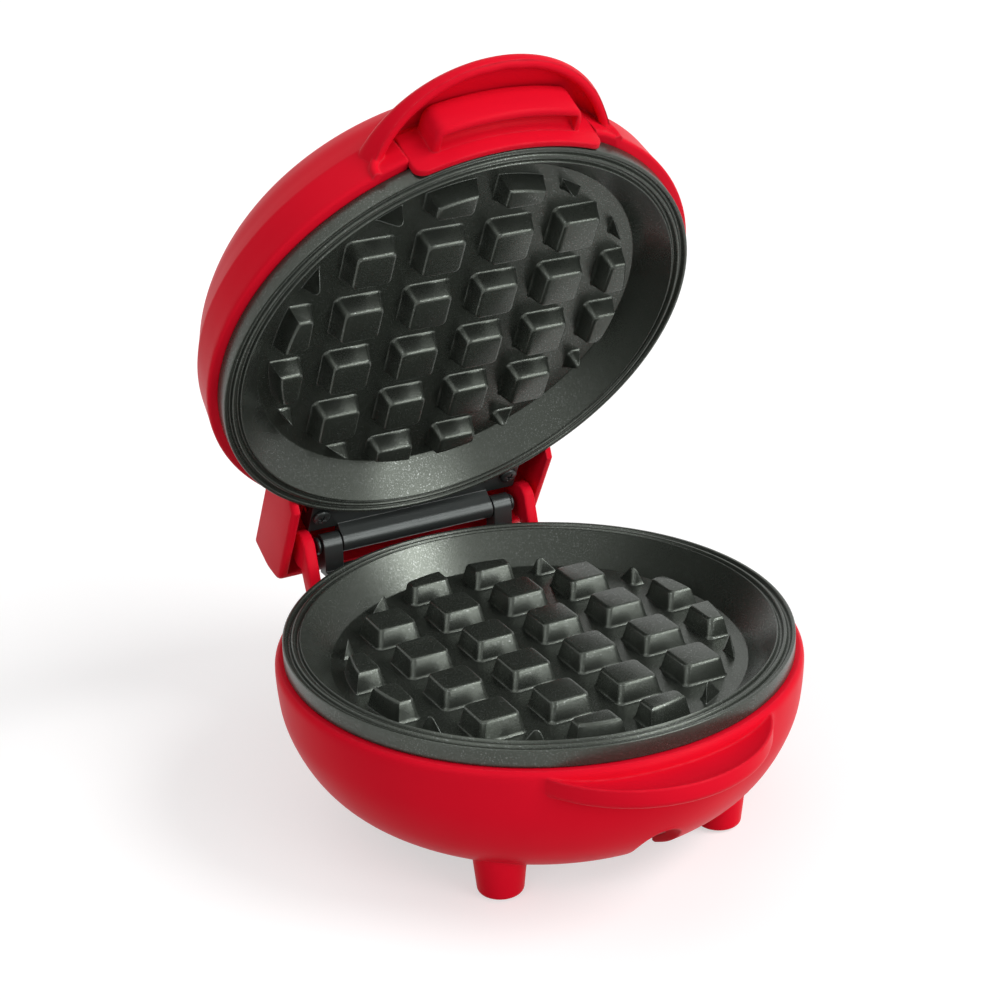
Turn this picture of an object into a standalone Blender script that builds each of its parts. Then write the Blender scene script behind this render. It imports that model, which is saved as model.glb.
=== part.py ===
"""A mini waffle maker with a hinged lid, built piece by piece.

The frame has +Z up and the front towards -Y. The model is drawn about the parting plane,
where the two cooking plates meet when the lid is shut: there z is 0 on the lower plate's
flange and y is 0 on the plates' axis. One empty lifts that plane off the table, and a
second one stands on the hinge axis and carries the lid, which is drawn shut.
"""
import math

import bmesh
import bpy
from mathutils import Matrix, Vector

# How far the model stands behind the middle of its length, and how far the lid is open
axis_forward = 0.00782
open_angle = math.radians(60.94)

# Clearances
seat_gap = 0.0003
pin_gap = 0.0003
overrun = 0.0010
lid_gap = 0.0024
swing_gap = 0.0010

# Cooking plates
plate_radius = 0.0700
plate_band = 0.0049
plate_wall = 0.0026
skirt_wall = 0.0022
flange_depth = 0.0030
flange_width = 0.0050
hollow_run = 0.0077
hollow_depth = 0.0090
floor_round = 0.0012
floor_thickness = 0.0030
groove_insets = (0.0040, 0.0017)
groove_half_width = 0.0008
groove_depth = 0.0009
edge_round = 0.0007

flange_inner_radius = plate_radius - flange_width
floor_radius = flange_inner_radius - hollow_run
plate_back = hollow_depth + floor_thickness

# Studs that press the pockets
stud_pitch = 0.02045
stud_count = 6
stud_recess = 0.0034
stud_face = 0.0112
stud_taper = 0.0013
stud_corner = 0.0014
stud_edge = 0.0008
stud_margin = 0.0036
stud_margin_taper = 0.0014

stud_foot = stud_face + stud_taper * 2
stud_circle_foot = floor_radius - stud_margin
stud_circle_face = stud_circle_foot - stud_margin_taper

# Heating elements, bent from sheathed tube
element_inset = 0.0173
element_radius = 0.0033
element_gap_angle = math.radians(36)
element_bend = 0.0048
element_tail = 0.0050
element_steps = 24

element_circle = floor_radius - element_inset
element_depth = plate_back + seat_gap + element_radius

# Screw bosses on the back of each plate
boss_circle_share = 0.55
boss_radius = 0.0038
boss_height = 0.0069
screw_count = 3
screw_radius = 0.0016
screw_depth = 0.0050
screw_head_radius = 0.0031
screw_head_height = 0.0016
screw_crown_share = 0.35

boss_circle = element_circle * boss_circle_share

# Disc thermostat
thermostat_radius = 0.0082
thermostat_height = 0.0100
thermostat_step = 0.0040
thermostat_cap_inset = 0.0022
blade_width = 0.0048
blade_thickness = 0.0008
blade_length = 0.0070
blade_inset = 0.0018

thermostat_cap_radius = thermostat_radius - thermostat_cap_inset
blade_offset = thermostat_cap_radius - blade_inset

# Reflector pans
pan_inset = 0.0023
pan_sheet = 0.0008
pan_wall = 0.0060
pan_bend = 0.0022
pan_window_gap = 0.0023

pan_radius = floor_radius - pan_inset
pan_window = thermostat_radius + pan_window_gap
pan_depth = plate_back + boss_height + seat_gap
pan_back = pan_depth + pan_sheet

# Lower housing
bowl_proud = 0.0024
wiring_room = 0.0161
wrap_height = 0.0061
housing_wall = 0.0024
seat_lap = 0.0028
seat_thickness = 0.0024
seat_fall = 0.0001
bowl_side_shares = (
    (0.985, 0.0), (1.0, 0.045), (0.996, 0.223), (0.984, 0.376), (0.955, 0.528),
    (0.911, 0.680), (0.855, 0.807), (0.786, 0.909), (0.700, 1.0))
level_share = 0.01

rim_low = -(plate_band + seat_gap)
bowl_radius = plate_radius + bowl_proud
bowl_floor = pan_back + wiring_room
wrap_ceiling = bowl_floor + housing_wall
bowl_foot_height = wrap_ceiling + wrap_height
bowl_height = bowl_foot_height + rim_low
seat_radius = plate_radius - seat_lap

# Recess under the base where a cord is wound, and its notch
hub_inset = 0.0394
hub_floor = 0.0030
notch_radius = 0.0065
notch_rise = 0.0083
notch_run = 0.0304

hub_radius = bowl_radius - hub_inset
notch_top = wrap_ceiling - notch_rise
notch_inner = bowl_radius - notch_run

# Moulded feet and their pads
foot_inset_x = 0.0386
foot_inset_y = 0.0333
foot_height = 0.0079
foot_top_radius = 0.0077
foot_end_radius = 0.0062
foot_round = 0.0009
pad_radius = 0.0040
pad_proud = 0.0005
pad_sunk = 0.0012

foot_x = bowl_radius - foot_inset_x
foot_y = bowl_radius - foot_inset_y
table_drop = bowl_foot_height + foot_height

# Finger lip on the front of the base
lip_setback = 0.0248
lip_radius = 0.0373
lip_edge = 0.0066
lip_dish = 0.0082
lip_face = 0.0054
lip_bead = 0.0014
lip_under_depth = 0.0180
lip_under_shares = ((0.83, 0.09), (0.70, 0.26), (0.60, 0.52), (0.53, 1.0))

lip_centre = bowl_radius - lip_setback

# Upper housing
dome_proud = 0.0026
dome_height = 0.0400
dome_side_shares = (
    (0.992, 0.0), (1.0, 0.02), (0.994, 0.110), (0.984, 0.285), (0.955, 0.400), (0.912, 0.560),
    (0.838, 0.720), (0.710, 0.860), (0.490, 0.953), (0.200, 1.0))
post_circle_share = 1.5
post_radius = 0.0030
post_height_share = 0.93

rim_high = lid_gap + plate_band + seat_gap
dome_radius = plate_radius + dome_proud
post_circle = boss_circle * post_circle_share

# Round hood on the front of the lid
hood_setback = 0.0219
hood_brow = 0.0376
hood_wall = 0.0024
hood_brow_rise = 0.0096
hood_drop = 0.0081
hood_side_shares = ((0.960, 0.0), (0.982, 0.50), (1.0, 1.0))
hood_top_shares = (
    (0.962, 0.11), (0.850, 0.26), (0.725, 0.43), (0.565, 0.62), (0.365, 0.82), (0.175, 1.0))
arch_inset = 0.0026
arch_drop = 0.0014
arch_power_share = 3.5
arch_steps = 16

hood_centre = dome_radius - hood_setback
hood_brow_height = rim_high + hood_brow_rise
hood_top_height = rim_high + dome_height - hood_drop
arch_half_width = hood_brow - arch_inset
arch_height = hood_brow_height - arch_drop

# Grip insert under the hood
insert_half_width = 0.0270
insert_drop = 0.0054
insert_rise = 0.0096
insert_inset = 0.0004
insert_wall = 0.0016
insert_corner = 0.0035
window_share = 0.93
ledge_inset = 0.0058
ledge_drop = 0.0008
ledge_reach = 0.0066
ledge_wall = 0.0014
catch_lap = 0.0040
catch_inset = 0.0040
catch_depth = 0.0052

insert_low = rim_high - insert_drop
insert_high = rim_high + insert_rise
insert_radius = dome_radius - insert_inset
ledge_half_width = insert_half_width - ledge_inset
ledge_low = rim_high - ledge_drop
ledge_radius = insert_radius + ledge_reach
catch_half_width = insert_half_width + catch_lap
catch_radius = insert_radius - catch_inset
catch_low = insert_high - catch_depth

# Hinge
hinge_reach = 0.0073
hinge_z = 0.0011
pin_radius = 0.0015
pin_head_radius = 0.0026
pin_head = 0.0013
barrel_radius = 0.0033
barrel_half = 0.0249
knuckle_gap = 0.0005
knuckle_length = 0.0059

hinge_y = plate_radius + hinge_reach
knuckle_in = barrel_half + knuckle_gap
knuckle_out = knuckle_in + knuckle_length

# Upper hinge bracket
leaf_lap = 0.0030
leaf_low = 0.0046
leaf_thickness = 0.0025
leaf_setback = 0.0031
leaf_rim = 0.0015
leaf_rim_height = 0.0056
web_share = 0.8
upper_screw_inset = 0.0032
upper_screw_setback = 0.0096
hinge_screw_head_radius = 0.0027
hinge_screw_head = 0.0014
hinge_screw_length = 0.0080
hinge_boss_radius = 0.0036

leaf_half_width = knuckle_out + leaf_lap
leaf_rear = hinge_y - leaf_setback
leaf_rim_top = leaf_low + leaf_rim_height
upper_screw_x = leaf_half_width - upper_screw_inset
upper_screw_y = hinge_y - upper_screw_setback

# Lower hinge bracket
strap_overhang = 0.0007
strap_top = 0.0064
strap_thickness = 0.0015
cheek_share = 0.72
lower_screw_inset = 0.0037
lower_screw_setback = 0.0070

strap_rear = hinge_y + strap_overhang
lower_screw_x = knuckle_out - lower_screw_inset
lower_screw_y = hinge_y - lower_screw_setback

# Ears of the base and the block between them
ear_gap = 0.0005
ear_wall = 0.0036
ear_radius = 0.0058
ear_neck_shares = (0.65, 0.6)
block_setback = 0.0031
block_slope_run = 0.0022
block_slope_z = 0.0145
block_foot_run = 0.0142
block_foot_z = 0.0260

ear_in = leaf_half_width + ear_gap
ear_out = ear_in + ear_wall
block_rear = hinge_y - block_setback
block_slope_y = block_rear - block_slope_run
block_foot_y = block_rear - block_foot_run

# Tail of the lid, a hollow box round the hinge
tail_side = 0.0046
tail_front_run = 0.0183
tail_reach = 0.0159
tail_low = 0.0004
tail_chin = 0.0047
tail_chin_share = 0.65
tail_step_z = 0.0088
tail_step_share = 0.3
tail_high = 0.0198
tail_round = 0.0018
tail_root_run = 0.0273

tail_half_width = ear_out + tail_side
tail_front = hinge_y - tail_front_run
tail_rear = hinge_y + tail_reach
tail_chin_y = tail_rear - tail_chin
tail_root = hinge_y - tail_root_run

# Cord gland at the rear
gland_rise = 0.0086
gland_wall = 0.0020
gland_proud = 0.0002
bush_radius = 0.0050
bush_bore = 0.0031
bush_flange_lap = 0.0012
bush_flange = 0.0015
bush_length = 0.0090

gland_height = -(bowl_floor - gland_rise)
gland_boss_radius = bush_radius + gland_wall
gland_rear = bowl_radius + gland_proud
bush_flange_radius = bush_radius + bush_flange_lap

# Fuse and terminal block inside the base
fuse_radius = 0.0020
fuse_length = 0.0180
fuse_gap = 0.0080
block_width = 0.0200
block_depth = 0.0110
block_height = 0.0085
block_gap = 0.0010

fuse_y = -(boss_circle + fuse_gap)
block_y = element_circle + element_radius + block_gap + block_depth / 2

# Pilot light in the lid
lens_setback = 0.0386
lens_radius = 0.0035
lens_flange_lap = 0.0015
lens_flange = 0.0012
lens_proud = 0.0016
lens_wall = 0.0010
lamp_radius = 0.0021
lamp_length = 0.0080
lamp_tip_shares = (0.7, 0.3)

lens_y = lens_setback - dome_radius
lens_flange_radius = lens_radius + lens_flange_lap

# Facets
turn_steps = 44
pan_steps = 28
small_steps = 16
tiny_steps = 10
merge_distance = 0.000001


def clear_scene():
    for thing in list(bpy.data.objects):
        bpy.data.objects.remove(thing, do_unlink=True)


def material(name, colour, roughness, metallic=0.0):
    made = bpy.data.materials.new(name)
    made.use_nodes = True
    shader = made.node_tree.nodes["Principled BSDF"]
    shader.inputs["Base Color"].default_value = (*colour, 1.0)
    shader.inputs["Roughness"].default_value = roughness
    shader.inputs["Metallic"].default_value = metallic
    made.diffuse_color = (*colour, 1.0)
    return made


def turned(profile, steps=turn_steps, centre=(0.0, 0.0), ring=False, sweep=math.tau):
    """Spin a profile of (radius, height) points about an upright axis, and cap its open ends."""
    shape = bmesh.new()
    points = [shape.verts.new((radius, 0.0, height)) for radius, height in profile]
    edges = [shape.edges.new(pair) for pair in zip(points, points[1:])]
    if ring:
        edges.append(shape.edges.new((points[-1], points[0])))
    bmesh.ops.spin(shape, geom=points + edges, cent=(0.0, 0.0, 0.0), axis=(0.0, 0.0, 1.0),
                   angle=sweep, steps=steps, use_merge=False)
    bmesh.ops.remove_doubles(shape, verts=shape.verts, dist=merge_distance)
    bmesh.ops.holes_fill(shape, edges=[edge for edge in shape.edges if edge.is_boundary], sides=0)
    bmesh.ops.recalc_face_normals(shape, faces=shape.faces)
    bmesh.ops.translate(shape, verts=shape.verts, vec=(centre[0], centre[1], 0.0))
    return shape


def prism(outline, start, end, along="x"):
    """Extrude a closed outline. Along x its points are (y, z), along y (x, z), along z (x, y)."""
    place = {"x": lambda a, b: (start, a, b), "y": lambda a, b: (a, start, b),
             "z": lambda a, b: (a, b, start)}[along]
    travel = {"x": (end - start, 0.0, 0.0), "y": (0.0, end - start, 0.0),
              "z": (0.0, 0.0, end - start)}[along]
    shape = bmesh.new()
    face = shape.faces.new([shape.verts.new(place(*point)) for point in outline])
    pushed = bmesh.ops.extrude_face_region(shape, geom=[face])
    moved = [item for item in pushed["geom"] if isinstance(item, bmesh.types.BMVert)]
    bmesh.ops.translate(shape, verts=moved, vec=travel)
    bmesh.ops.recalc_face_normals(shape, faces=shape.faces)
    return shape


def block(low, high):
    outline = ((low[0], low[1]), (high[0], low[1]), (high[0], high[1]), (low[0], high[1]))
    return prism(outline, low[2], high[2], along="z")


def rod(radius, start, end, steps=small_steps):
    """A round bar between two points."""
    start, end = Vector(start), Vector(end)
    shape = turned(((radius, 0.0), (radius, (end - start).length)), steps)
    turn = Vector((0.0, 0.0, 1.0)).rotation_difference(end - start).to_matrix().to_4x4()
    bmesh.ops.transform(shape, verts=shape.verts, matrix=Matrix.Translation(start) @ turn)
    return shape


def arc(centre, radius, first, last, steps):
    return [(centre[0] + radius * math.cos(first + (last - first) * step / steps),
             centre[1] + radius * math.sin(first + (last - first) * step / steps))
            for step in range(steps + 1)]


def as_object(shape, name):
    mesh = bpy.data.meshes.new(name)
    shape.to_mesh(mesh)
    shape.free()
    thing = bpy.data.objects.new(name, mesh)
    bpy.context.scene.collection.objects.link(thing)
    return thing


def combined(body, tool, operation):
    """Join the tool to the body, cut it away or keep what they share, and give the result."""
    first = as_object(body, "first_shape")
    second = as_object(tool, "second_shape")
    change = first.modifiers.new("change", "BOOLEAN")
    change.operation = operation
    change.solver = "EXACT"
    change.object = second
    graph = bpy.context.evaluated_depsgraph_get()
    result = bmesh.new()
    result.from_mesh(first.evaluated_get(graph).to_mesh())
    for thing in (first, second):
        mesh = thing.data
        bpy.data.objects.remove(thing, do_unlink=True)
        bpy.data.meshes.remove(mesh)
    bmesh.ops.remove_doubles(result, verts=result.verts, dist=merge_distance)
    bmesh.ops.dissolve_degenerate(result, dist=merge_distance, edges=result.edges)
    return result


def joined(body, *tools):
    for tool in tools:
        body = combined(body, tool, "UNION")
    return body


def cut(body, *tools):
    for tool in tools:
        body = combined(body, tool, "DIFFERENCE")
    return body


def piece(name, shape, finish, parent, origin=(0.0, 0.0, 0.0)):
    """Give a shape its own object, material and parent; origin is where the parent stands."""
    thing = as_object(shape, name)
    thing.data.materials.append(finish)
    thing.data.shade_smooth()
    thing.data.set_sharp_from_angle(angle=math.radians(32))
    thing.parent = parent
    thing.location = [-value for value in origin]
    return thing


def offset_inward(points, distance):
    """Shift a profile of (radius, height) points to its inner side by a wall's thickness."""
    shifted = []
    for index, point in enumerate(points):
        before = Vector(points[max(index - 1, 0)])
        after = Vector(points[min(index + 1, len(points) - 1)])
        run = (after - before).normalized()
        side = Vector((-run.y, run.x))
        if side.x > 0.0 or (abs(side.x) < abs(side.y) * level_share and side.y > 0.0):
            side = -side
        shifted.append((point[0] + side.x * distance, point[1] + side.y * distance))
    return shifted


def spots(circle, count, first):
    return [(circle * math.cos(first + math.tau * step / count),
             circle * math.sin(first + math.tau * step / count)) for step in range(count)]


def stud_level(height, half, corner):
    return [(x * (half - corner * cut_x), y * (half - corner * cut_y), height)
            for x, y, cut_x, cut_y in ((1, -1, 0, 1), (1, 1, 0, 1), (1, 1, 1, 0), (-1, 1, 1, 0),
                                       (-1, 1, 0, 1), (-1, -1, 0, 1), (-1, -1, 1, 0), (1, -1, 1, 0))]


def add_stud(shape, x, y):
    """One tapered stud with chamfered corners, rooted below the floor it stands on."""
    rise = hollow_depth - stud_recess
    taper = (stud_foot - stud_face) / 2 / rise
    levels = ((-hollow_depth - overrun, stud_foot / 2 + taper * overrun),
              (-stud_recess - stud_edge, stud_face / 2 + taper * stud_edge),
              (-stud_recess, stud_face / 2 - stud_edge))
    rings = [[shape.verts.new((x + px, y + py, pz))
              for px, py, pz in stud_level(height, half, stud_corner)] for height, half in levels]
    for low, high in zip(rings, rings[1:]):
        for step in range(len(low)):
            after = (step + 1) % len(low)
            shape.faces.new((low[step], low[after], high[after], high[step]))
    shape.faces.new(rings[-1])
    shape.faces.new(list(reversed(rings[0])))


def stud_field():
    """The square grid of studs, kept only inside the circle that the mould leaves for it."""
    shape = bmesh.new()
    first = -(stud_count - 1) / 2
    for row in range(stud_count):
        for column in range(stud_count):
            x, y = (first + column) * stud_pitch, (first + row) * stud_pitch
            if math.hypot(abs(x) - stud_foot / 2, abs(y) - stud_foot / 2) < stud_circle_face:
                add_stud(shape, x, y)
    rise = hollow_depth - stud_recess
    slope = (stud_circle_foot - stud_circle_face) / rise
    circle = turned(((stud_circle_foot + slope * overrun * 2, -hollow_depth - overrun * 2),
                     (stud_circle_face - slope * overrun, -stud_recess + overrun)))
    return combined(shape, circle, "INTERSECT")


def cooking_plate():
    """A cast plate: flange with two sealing grooves, sloped hollow, studs and screw bosses."""
    slope = (flange_inner_radius - floor_radius) / hollow_depth
    back = plate_wall * math.hypot(1.0, slope)
    profile = [(floor_radius - floor_round, -hollow_depth),
               (floor_radius + slope * floor_round, -hollow_depth + floor_round), (flange_inner_radius, 0.0)]
    for inset in groove_insets:
        radius = plate_radius - inset
        profile += [(radius - groove_half_width, 0.0), (radius, -groove_depth),
                    (radius + groove_half_width, 0.0)]
    profile += [(plate_radius - edge_round, 0.0), (plate_radius, -edge_round),
                (plate_radius, -plate_band), (plate_radius - skirt_wall, -plate_band),
                (plate_radius - skirt_wall, -flange_depth),
                (flange_inner_radius - slope * flange_depth + back, -flange_depth),
                (flange_inner_radius - slope * plate_back + back, -plate_back)]
    plate = joined(turned(profile), stud_field())
    for x, y in spots(boss_circle, screw_count, math.pi / 2):
        boss = rod(boss_radius, (x, y, -plate_back + overrun),
                   (x, y, -plate_back - boss_height), tiny_steps)
        hole = rod(screw_radius + pin_gap, (x, y, -plate_back - boss_height - overrun),
                   (x, y, -plate_back - boss_height + screw_depth + pin_gap), tiny_steps)
        plate = cut(joined(plate, boss), hole)
    return plate


def flipped(shape):
    """Mirror a lower piece about the parting gap, so that it serves the lid."""
    bmesh.ops.scale(shape, verts=shape.verts, vec=(1.0, 1.0, -1.0))
    bmesh.ops.reverse_faces(shape, faces=shape.faces)
    bmesh.ops.translate(shape, verts=shape.verts, vec=(0.0, 0.0, lid_gap))
    return shape


def element_ends():
    """Where the heating ring stops, with the direction in which each end carries on."""
    half = element_gap_angle / 2
    return [(element_circle * math.cos(angle), element_circle * math.sin(angle),
             -way * math.sin(angle), way * math.cos(angle))
            for angle, way in ((math.pi / 2 + half, -1.0), (math.pi / 2 - half, 1.0))]


def heating_element():
    """A round tube bent to an open ring, whose two ends turn away from the plate."""
    start = math.pi / 2 + element_gap_angle / 2
    sweep = math.tau - element_gap_angle
    ring = [(element_circle * math.cos(start + sweep * step / element_steps),
             element_circle * math.sin(start + sweep * step / element_steps), -element_depth)
            for step in range(element_steps + 1)]
    tails = []
    for x, y, along_x, along_y in element_ends():
        tail = [(x + along_x * element_bend * math.sin(turn), y + along_y * element_bend * math.sin(turn),
                 -element_depth - element_bend * (1.0 - math.cos(turn)))
                for turn in (math.radians(30), math.radians(60), math.pi / 2)]
        tails.append(tail + [(tail[-1][0], tail[-1][1], tail[-1][2] - element_tail)])
    return tube(list(reversed(tails[0])) + ring + tails[1], element_radius)


def tube(line, radius):
    """A round tube of eight sides along a list of points, with flat ends."""
    curve = bpy.data.curves.new("tube_line", "CURVE")
    curve.dimensions = "3D"
    curve.bevel_depth = radius
    curve.bevel_resolution = 2
    curve.use_fill_caps = True
    spline = curve.splines.new("POLY")
    spline.points.add(len(line) - 1)
    for spot, point in zip(spline.points, line):
        spot.co = (*point, 1.0)
    thing = bpy.data.objects.new("tube_line", curve)
    bpy.context.scene.collection.objects.link(thing)
    graph = bpy.context.evaluated_depsgraph_get()
    shape = bmesh.new()
    shape.from_mesh(thing.evaluated_get(graph).to_mesh())
    bpy.data.objects.remove(thing, do_unlink=True)
    bpy.data.curves.remove(curve)
    bmesh.ops.remove_doubles(shape, verts=shape.verts, dist=merge_distance)
    bmesh.ops.recalc_face_normals(shape, faces=shape.faces)
    return shape


def reflector_pan():
    """A pressed sheet pan that backs the element, with a window for the thermostat."""
    inner = pan_radius - pan_sheet
    profile = ((pan_window, -pan_depth), (inner - pan_bend, -pan_depth), (inner, -pan_depth + pan_bend),
               (inner, -pan_depth + pan_wall), (pan_radius, -pan_depth + pan_wall),
               (pan_radius, -pan_depth + pan_bend - pan_sheet / 2),
               (pan_radius - pan_bend - pan_sheet / 2, -pan_back), (pan_window, -pan_back))
    pan = turned(profile, pan_steps, ring=True)
    for x, y in spots(boss_circle, screw_count, math.pi / 2):
        hole = rod(screw_radius + pin_gap, (x, y, -pan_back - overrun),
                   (x, y, -pan_depth + overrun), tiny_steps)
        pan = cut(pan, hole)
    for x, y, along_x, along_y in element_ends():
        x, y = x + along_x * element_bend, y + along_y * element_bend
        pan = cut(pan, rod(element_radius + swing_gap, (x, y, -pan_back - overrun),
                           (x, y, -pan_depth + overrun), tiny_steps))
    return pan


def screw(x, y, seat, tip, head_radius=screw_head_radius, head=screw_head_height, radius=screw_radius):
    """An upright screw whose head bears on the seat, with its shank reaching to the tip."""
    way = 1.0 if tip > seat else -1.0
    crown = head * screw_crown_share
    profile = ((radius, tip), (radius, seat), (head_radius, seat),
               (head_radius, seat - way * (head - crown)), (head_radius - crown, seat - way * head))
    return turned(profile, tiny_steps, centre=(x, y))


def bowl_side():
    return [(bowl_radius * wide, rim_low - bowl_height * deep) for wide, deep in bowl_side_shares]


def radius_on(line, height):
    """The radius of a falling line of (radius, height) points at a height."""
    for (wide, high), (narrow, low) in zip(line, line[1:]):
        if low <= height <= high:
            return wide + (narrow - wide) * (high - height) / (high - low)
    return line[-1][0]


def bowl_hollow():
    """The space inside the lower housing, from above its rim down to the floor and hub."""
    wall = offset_inward(bowl_side(), housing_wall)
    side = [point for point in wall[2:] if point[1] > -bowl_floor]
    hub_hollow = hub_radius - housing_wall
    return turned([(seat_radius, rim_low + overrun), (seat_radius, rim_low - seat_thickness)] + side +
                  [(radius_on(wall, -bowl_floor), -bowl_floor), (hub_hollow, -bowl_floor),
                   (hub_hollow, -bowl_foot_height + hub_floor)])


def wrap_recess():
    """The ring-shaped recess under the base, whose outer wall follows the bowl."""
    wall = offset_inward(bowl_side(), housing_wall)
    foot = wall[-1][0]
    side = [point for point in reversed(wall[:-1]) if point[1] < -wrap_ceiling]
    return turned([(hub_radius, -bowl_foot_height - overrun), (foot, -bowl_foot_height - overrun),
                   (foot, -bowl_foot_height + overrun)] + side +
                  [(radius_on(wall, -wrap_ceiling), -wrap_ceiling), (hub_radius, -wrap_ceiling)], ring=True)


def notch(grow):
    """The arched way for the cord through the front wall of the recess, or the cover about it."""
    outline = arc((0.0, -notch_top - notch_radius), notch_radius + grow, 0.0, math.pi, tiny_steps - 1)
    outline += [(-notch_radius - grow, -bowl_foot_height - overrun),
                (notch_radius + grow, -bowl_foot_height - overrun)]
    return prism(outline, -bowl_radius - overrun, -notch_inner + grow, along="y")


def notch_cover():
    """The wall that closes the inside of the bowl off from the arched notch."""
    return combined(notch(housing_wall), turned(bowl_side()), "INTERSECT")


def grip_lip():
    """The round finger lip on the front of the base, dished on top and undercut below."""
    face_foot = -lip_edge - lip_face
    under = [(lip_radius * wide, face_foot - lip_under_depth * deep) for wide, deep in lip_under_shares]
    profile = [(lip_radius - lip_bead * 3, -lip_dish), (lip_radius - lip_bead, -lip_edge),
               (lip_radius, -lip_edge - lip_bead / 2), (lip_radius, face_foot + lip_bead),
               (lip_radius - lip_bead, face_foot)] + under
    return turned(profile, turn_steps, centre=(0.0, -lip_centre))


def base_ear_outline():
    axis = (hinge_y, hinge_z)
    lug = arc(axis, ear_radius, math.radians(-102), math.radians(150), 9)
    neck = (lug[-1][0] - ear_radius * ear_neck_shares[0], rim_low - ear_radius * ear_neck_shares[1])
    return [(block_foot_y - overrun, -block_foot_z), (block_slope_y, -block_slope_z)] + lug + [
        neck, (block_foot_y - overrun, -block_slope_z)]


def rear_block():
    top = -strap_top - strap_thickness - seat_gap
    outline = ((block_foot_y - overrun, top), (block_rear - overrun, top), (block_rear, top - overrun),
               (block_slope_y, -block_slope_z), (block_foot_y - overrun, -block_foot_z))
    return prism(outline, -ear_out, ear_out)


def lower_housing():
    """The bowl of the base with its lip, ears, feet, posts, cord recess and cord outlet."""
    shell = turned(bowl_side())
    shell = joined(shell, grip_lip(), rear_block())
    for side in (-1.0, 1.0):
        shell = joined(shell, prism(base_ear_outline(), side * ear_in, side * ear_out))
    outlet = rod(gland_boss_radius, (0.0, block_foot_y, gland_height), (0.0, gland_rear, gland_height))
    shell = cut(joined(shell, outlet), bowl_hollow())
    shell = cut(joined(shell, notch_cover()), wrap_recess())
    plate_room = turned(((seat_radius - overrun, rim_low - seat_fall),
                         (plate_radius + seat_gap, rim_low + seat_fall), (plate_radius + seat_gap, overrun)))
    bore = rod(bush_radius + seat_gap, (0.0, block_foot_y - overrun, gland_height),
               (0.0, gland_rear + overrun, gland_height), small_steps)
    shell = cut(shell, plate_room, notch(0.0), bore)
    for x in (-foot_x, foot_x):
        for y in (-foot_y, foot_y):
            shell = joined(shell, moulded_foot(x, y))
            shell = cut(shell, rod(pad_radius + seat_gap, (x, y, -table_drop - overrun),
                                   (x, y, -table_drop + pad_proud + pad_sunk + seat_gap)))
    for x, y in spots(boss_circle, screw_count, math.pi / 2):
        shell = joined(shell, rod(boss_radius, (x, y, -bowl_foot_height + hub_floor / 2),
                                  (x, y, -pan_back - seat_gap), tiny_steps))
        shell = cut(shell, rod(screw_radius + pin_gap, (x, y, -bowl_foot_height - overrun),
                               (x, y, -pan_back + overrun), tiny_steps),
                    rod(screw_head_radius + seat_gap, (x, y, -bowl_foot_height - overrun),
                        (x, y, -bowl_foot_height + screw_head_height + seat_gap), tiny_steps))
    for x in (-lower_screw_x, lower_screw_x):
        top = -strap_top - strap_thickness
        shell = cut(shell, rod(screw_radius + pin_gap, (x, lower_screw_y, top + overrun),
                               (x, lower_screw_y, -strap_top - hinge_screw_length), tiny_steps))
    return shell


def moulded_foot(x, y):
    root = -(bowl_floor + wrap_ceiling) / 2
    end = -table_drop + pad_proud
    return turned(((foot_top_radius, root), (foot_end_radius, end + foot_round),
                   (foot_end_radius - foot_round, end)), small_steps, centre=(x, y))


def foot_pad(x, y):
    return rod(pad_radius, (x, y, -table_drop), (x, y, -table_drop + pad_proud + pad_sunk), small_steps)


def dome_side():
    return [(dome_radius * wide, rim_high + dome_height * high) for wide, high in dome_side_shares]


def dome_hollow():
    inner = offset_inward(dome_side(), housing_wall)[2:]
    return turned([(seat_radius, rim_high - overrun), (seat_radius, rim_high + seat_thickness)] + inner)


def hood_side(radius, low, brow, top, wall):
    rise = brow - low
    side = [((radius * wide) - wall, low + rise * high) for wide, high in hood_side_shares]
    crown = [((radius * wide) - wall, brow + (top - brow) * high) for wide, high in hood_top_shares]
    return side + crown


def squared(across):
    """The height share of an arch with full shoulders, at a share of its half width."""
    return (1.0 - min(abs(across), 1.0) ** arch_power_share) ** (1.0 / arch_power_share)


def hood_space():
    """The finger space under the hood with its arched mouth, outside the wall of the dome."""
    room = turned(hood_side(hood_brow, rim_high - overrun, hood_brow_height - hood_wall,
                            hood_top_height - hood_wall, hood_wall), centre=(0.0, -hood_centre))
    arch = [(across * arch_half_width, rim_high + (arch_height - rim_high) * squared(across))
            for across in [math.cos(math.pi * step / arch_steps) for step in range(arch_steps + 1)]]
    arch += [(-arch_half_width, rim_high - overrun * 2), (arch_half_width, rim_high - overrun * 2)]
    mouth = prism(arch, -hood_centre - hood_brow - overrun, -hood_centre, along="y")
    return cut(joined(room, mouth), turned(dome_side()))


def tail_outline(grow):
    """The side view of the lid's tail; a negative grow gives its inside, open at the bottom."""
    rear, top = tail_rear + grow, tail_high + grow
    chin = tail_chin_y + grow * tail_chin_share
    outline = [(tail_front, tail_low), (chin, tail_low)]
    if grow < 0.0:
        below = tail_low - overrun * 4
        outline = [(tail_root, below), (chin, below), (chin, tail_low)]
    return outline + [(rear, tail_step_z - grow * tail_step_share), (rear, top - tail_round),
                      (rear - tail_round, top), (tail_root, top), (tail_root, tail_step_z + housing_wall)]


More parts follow.
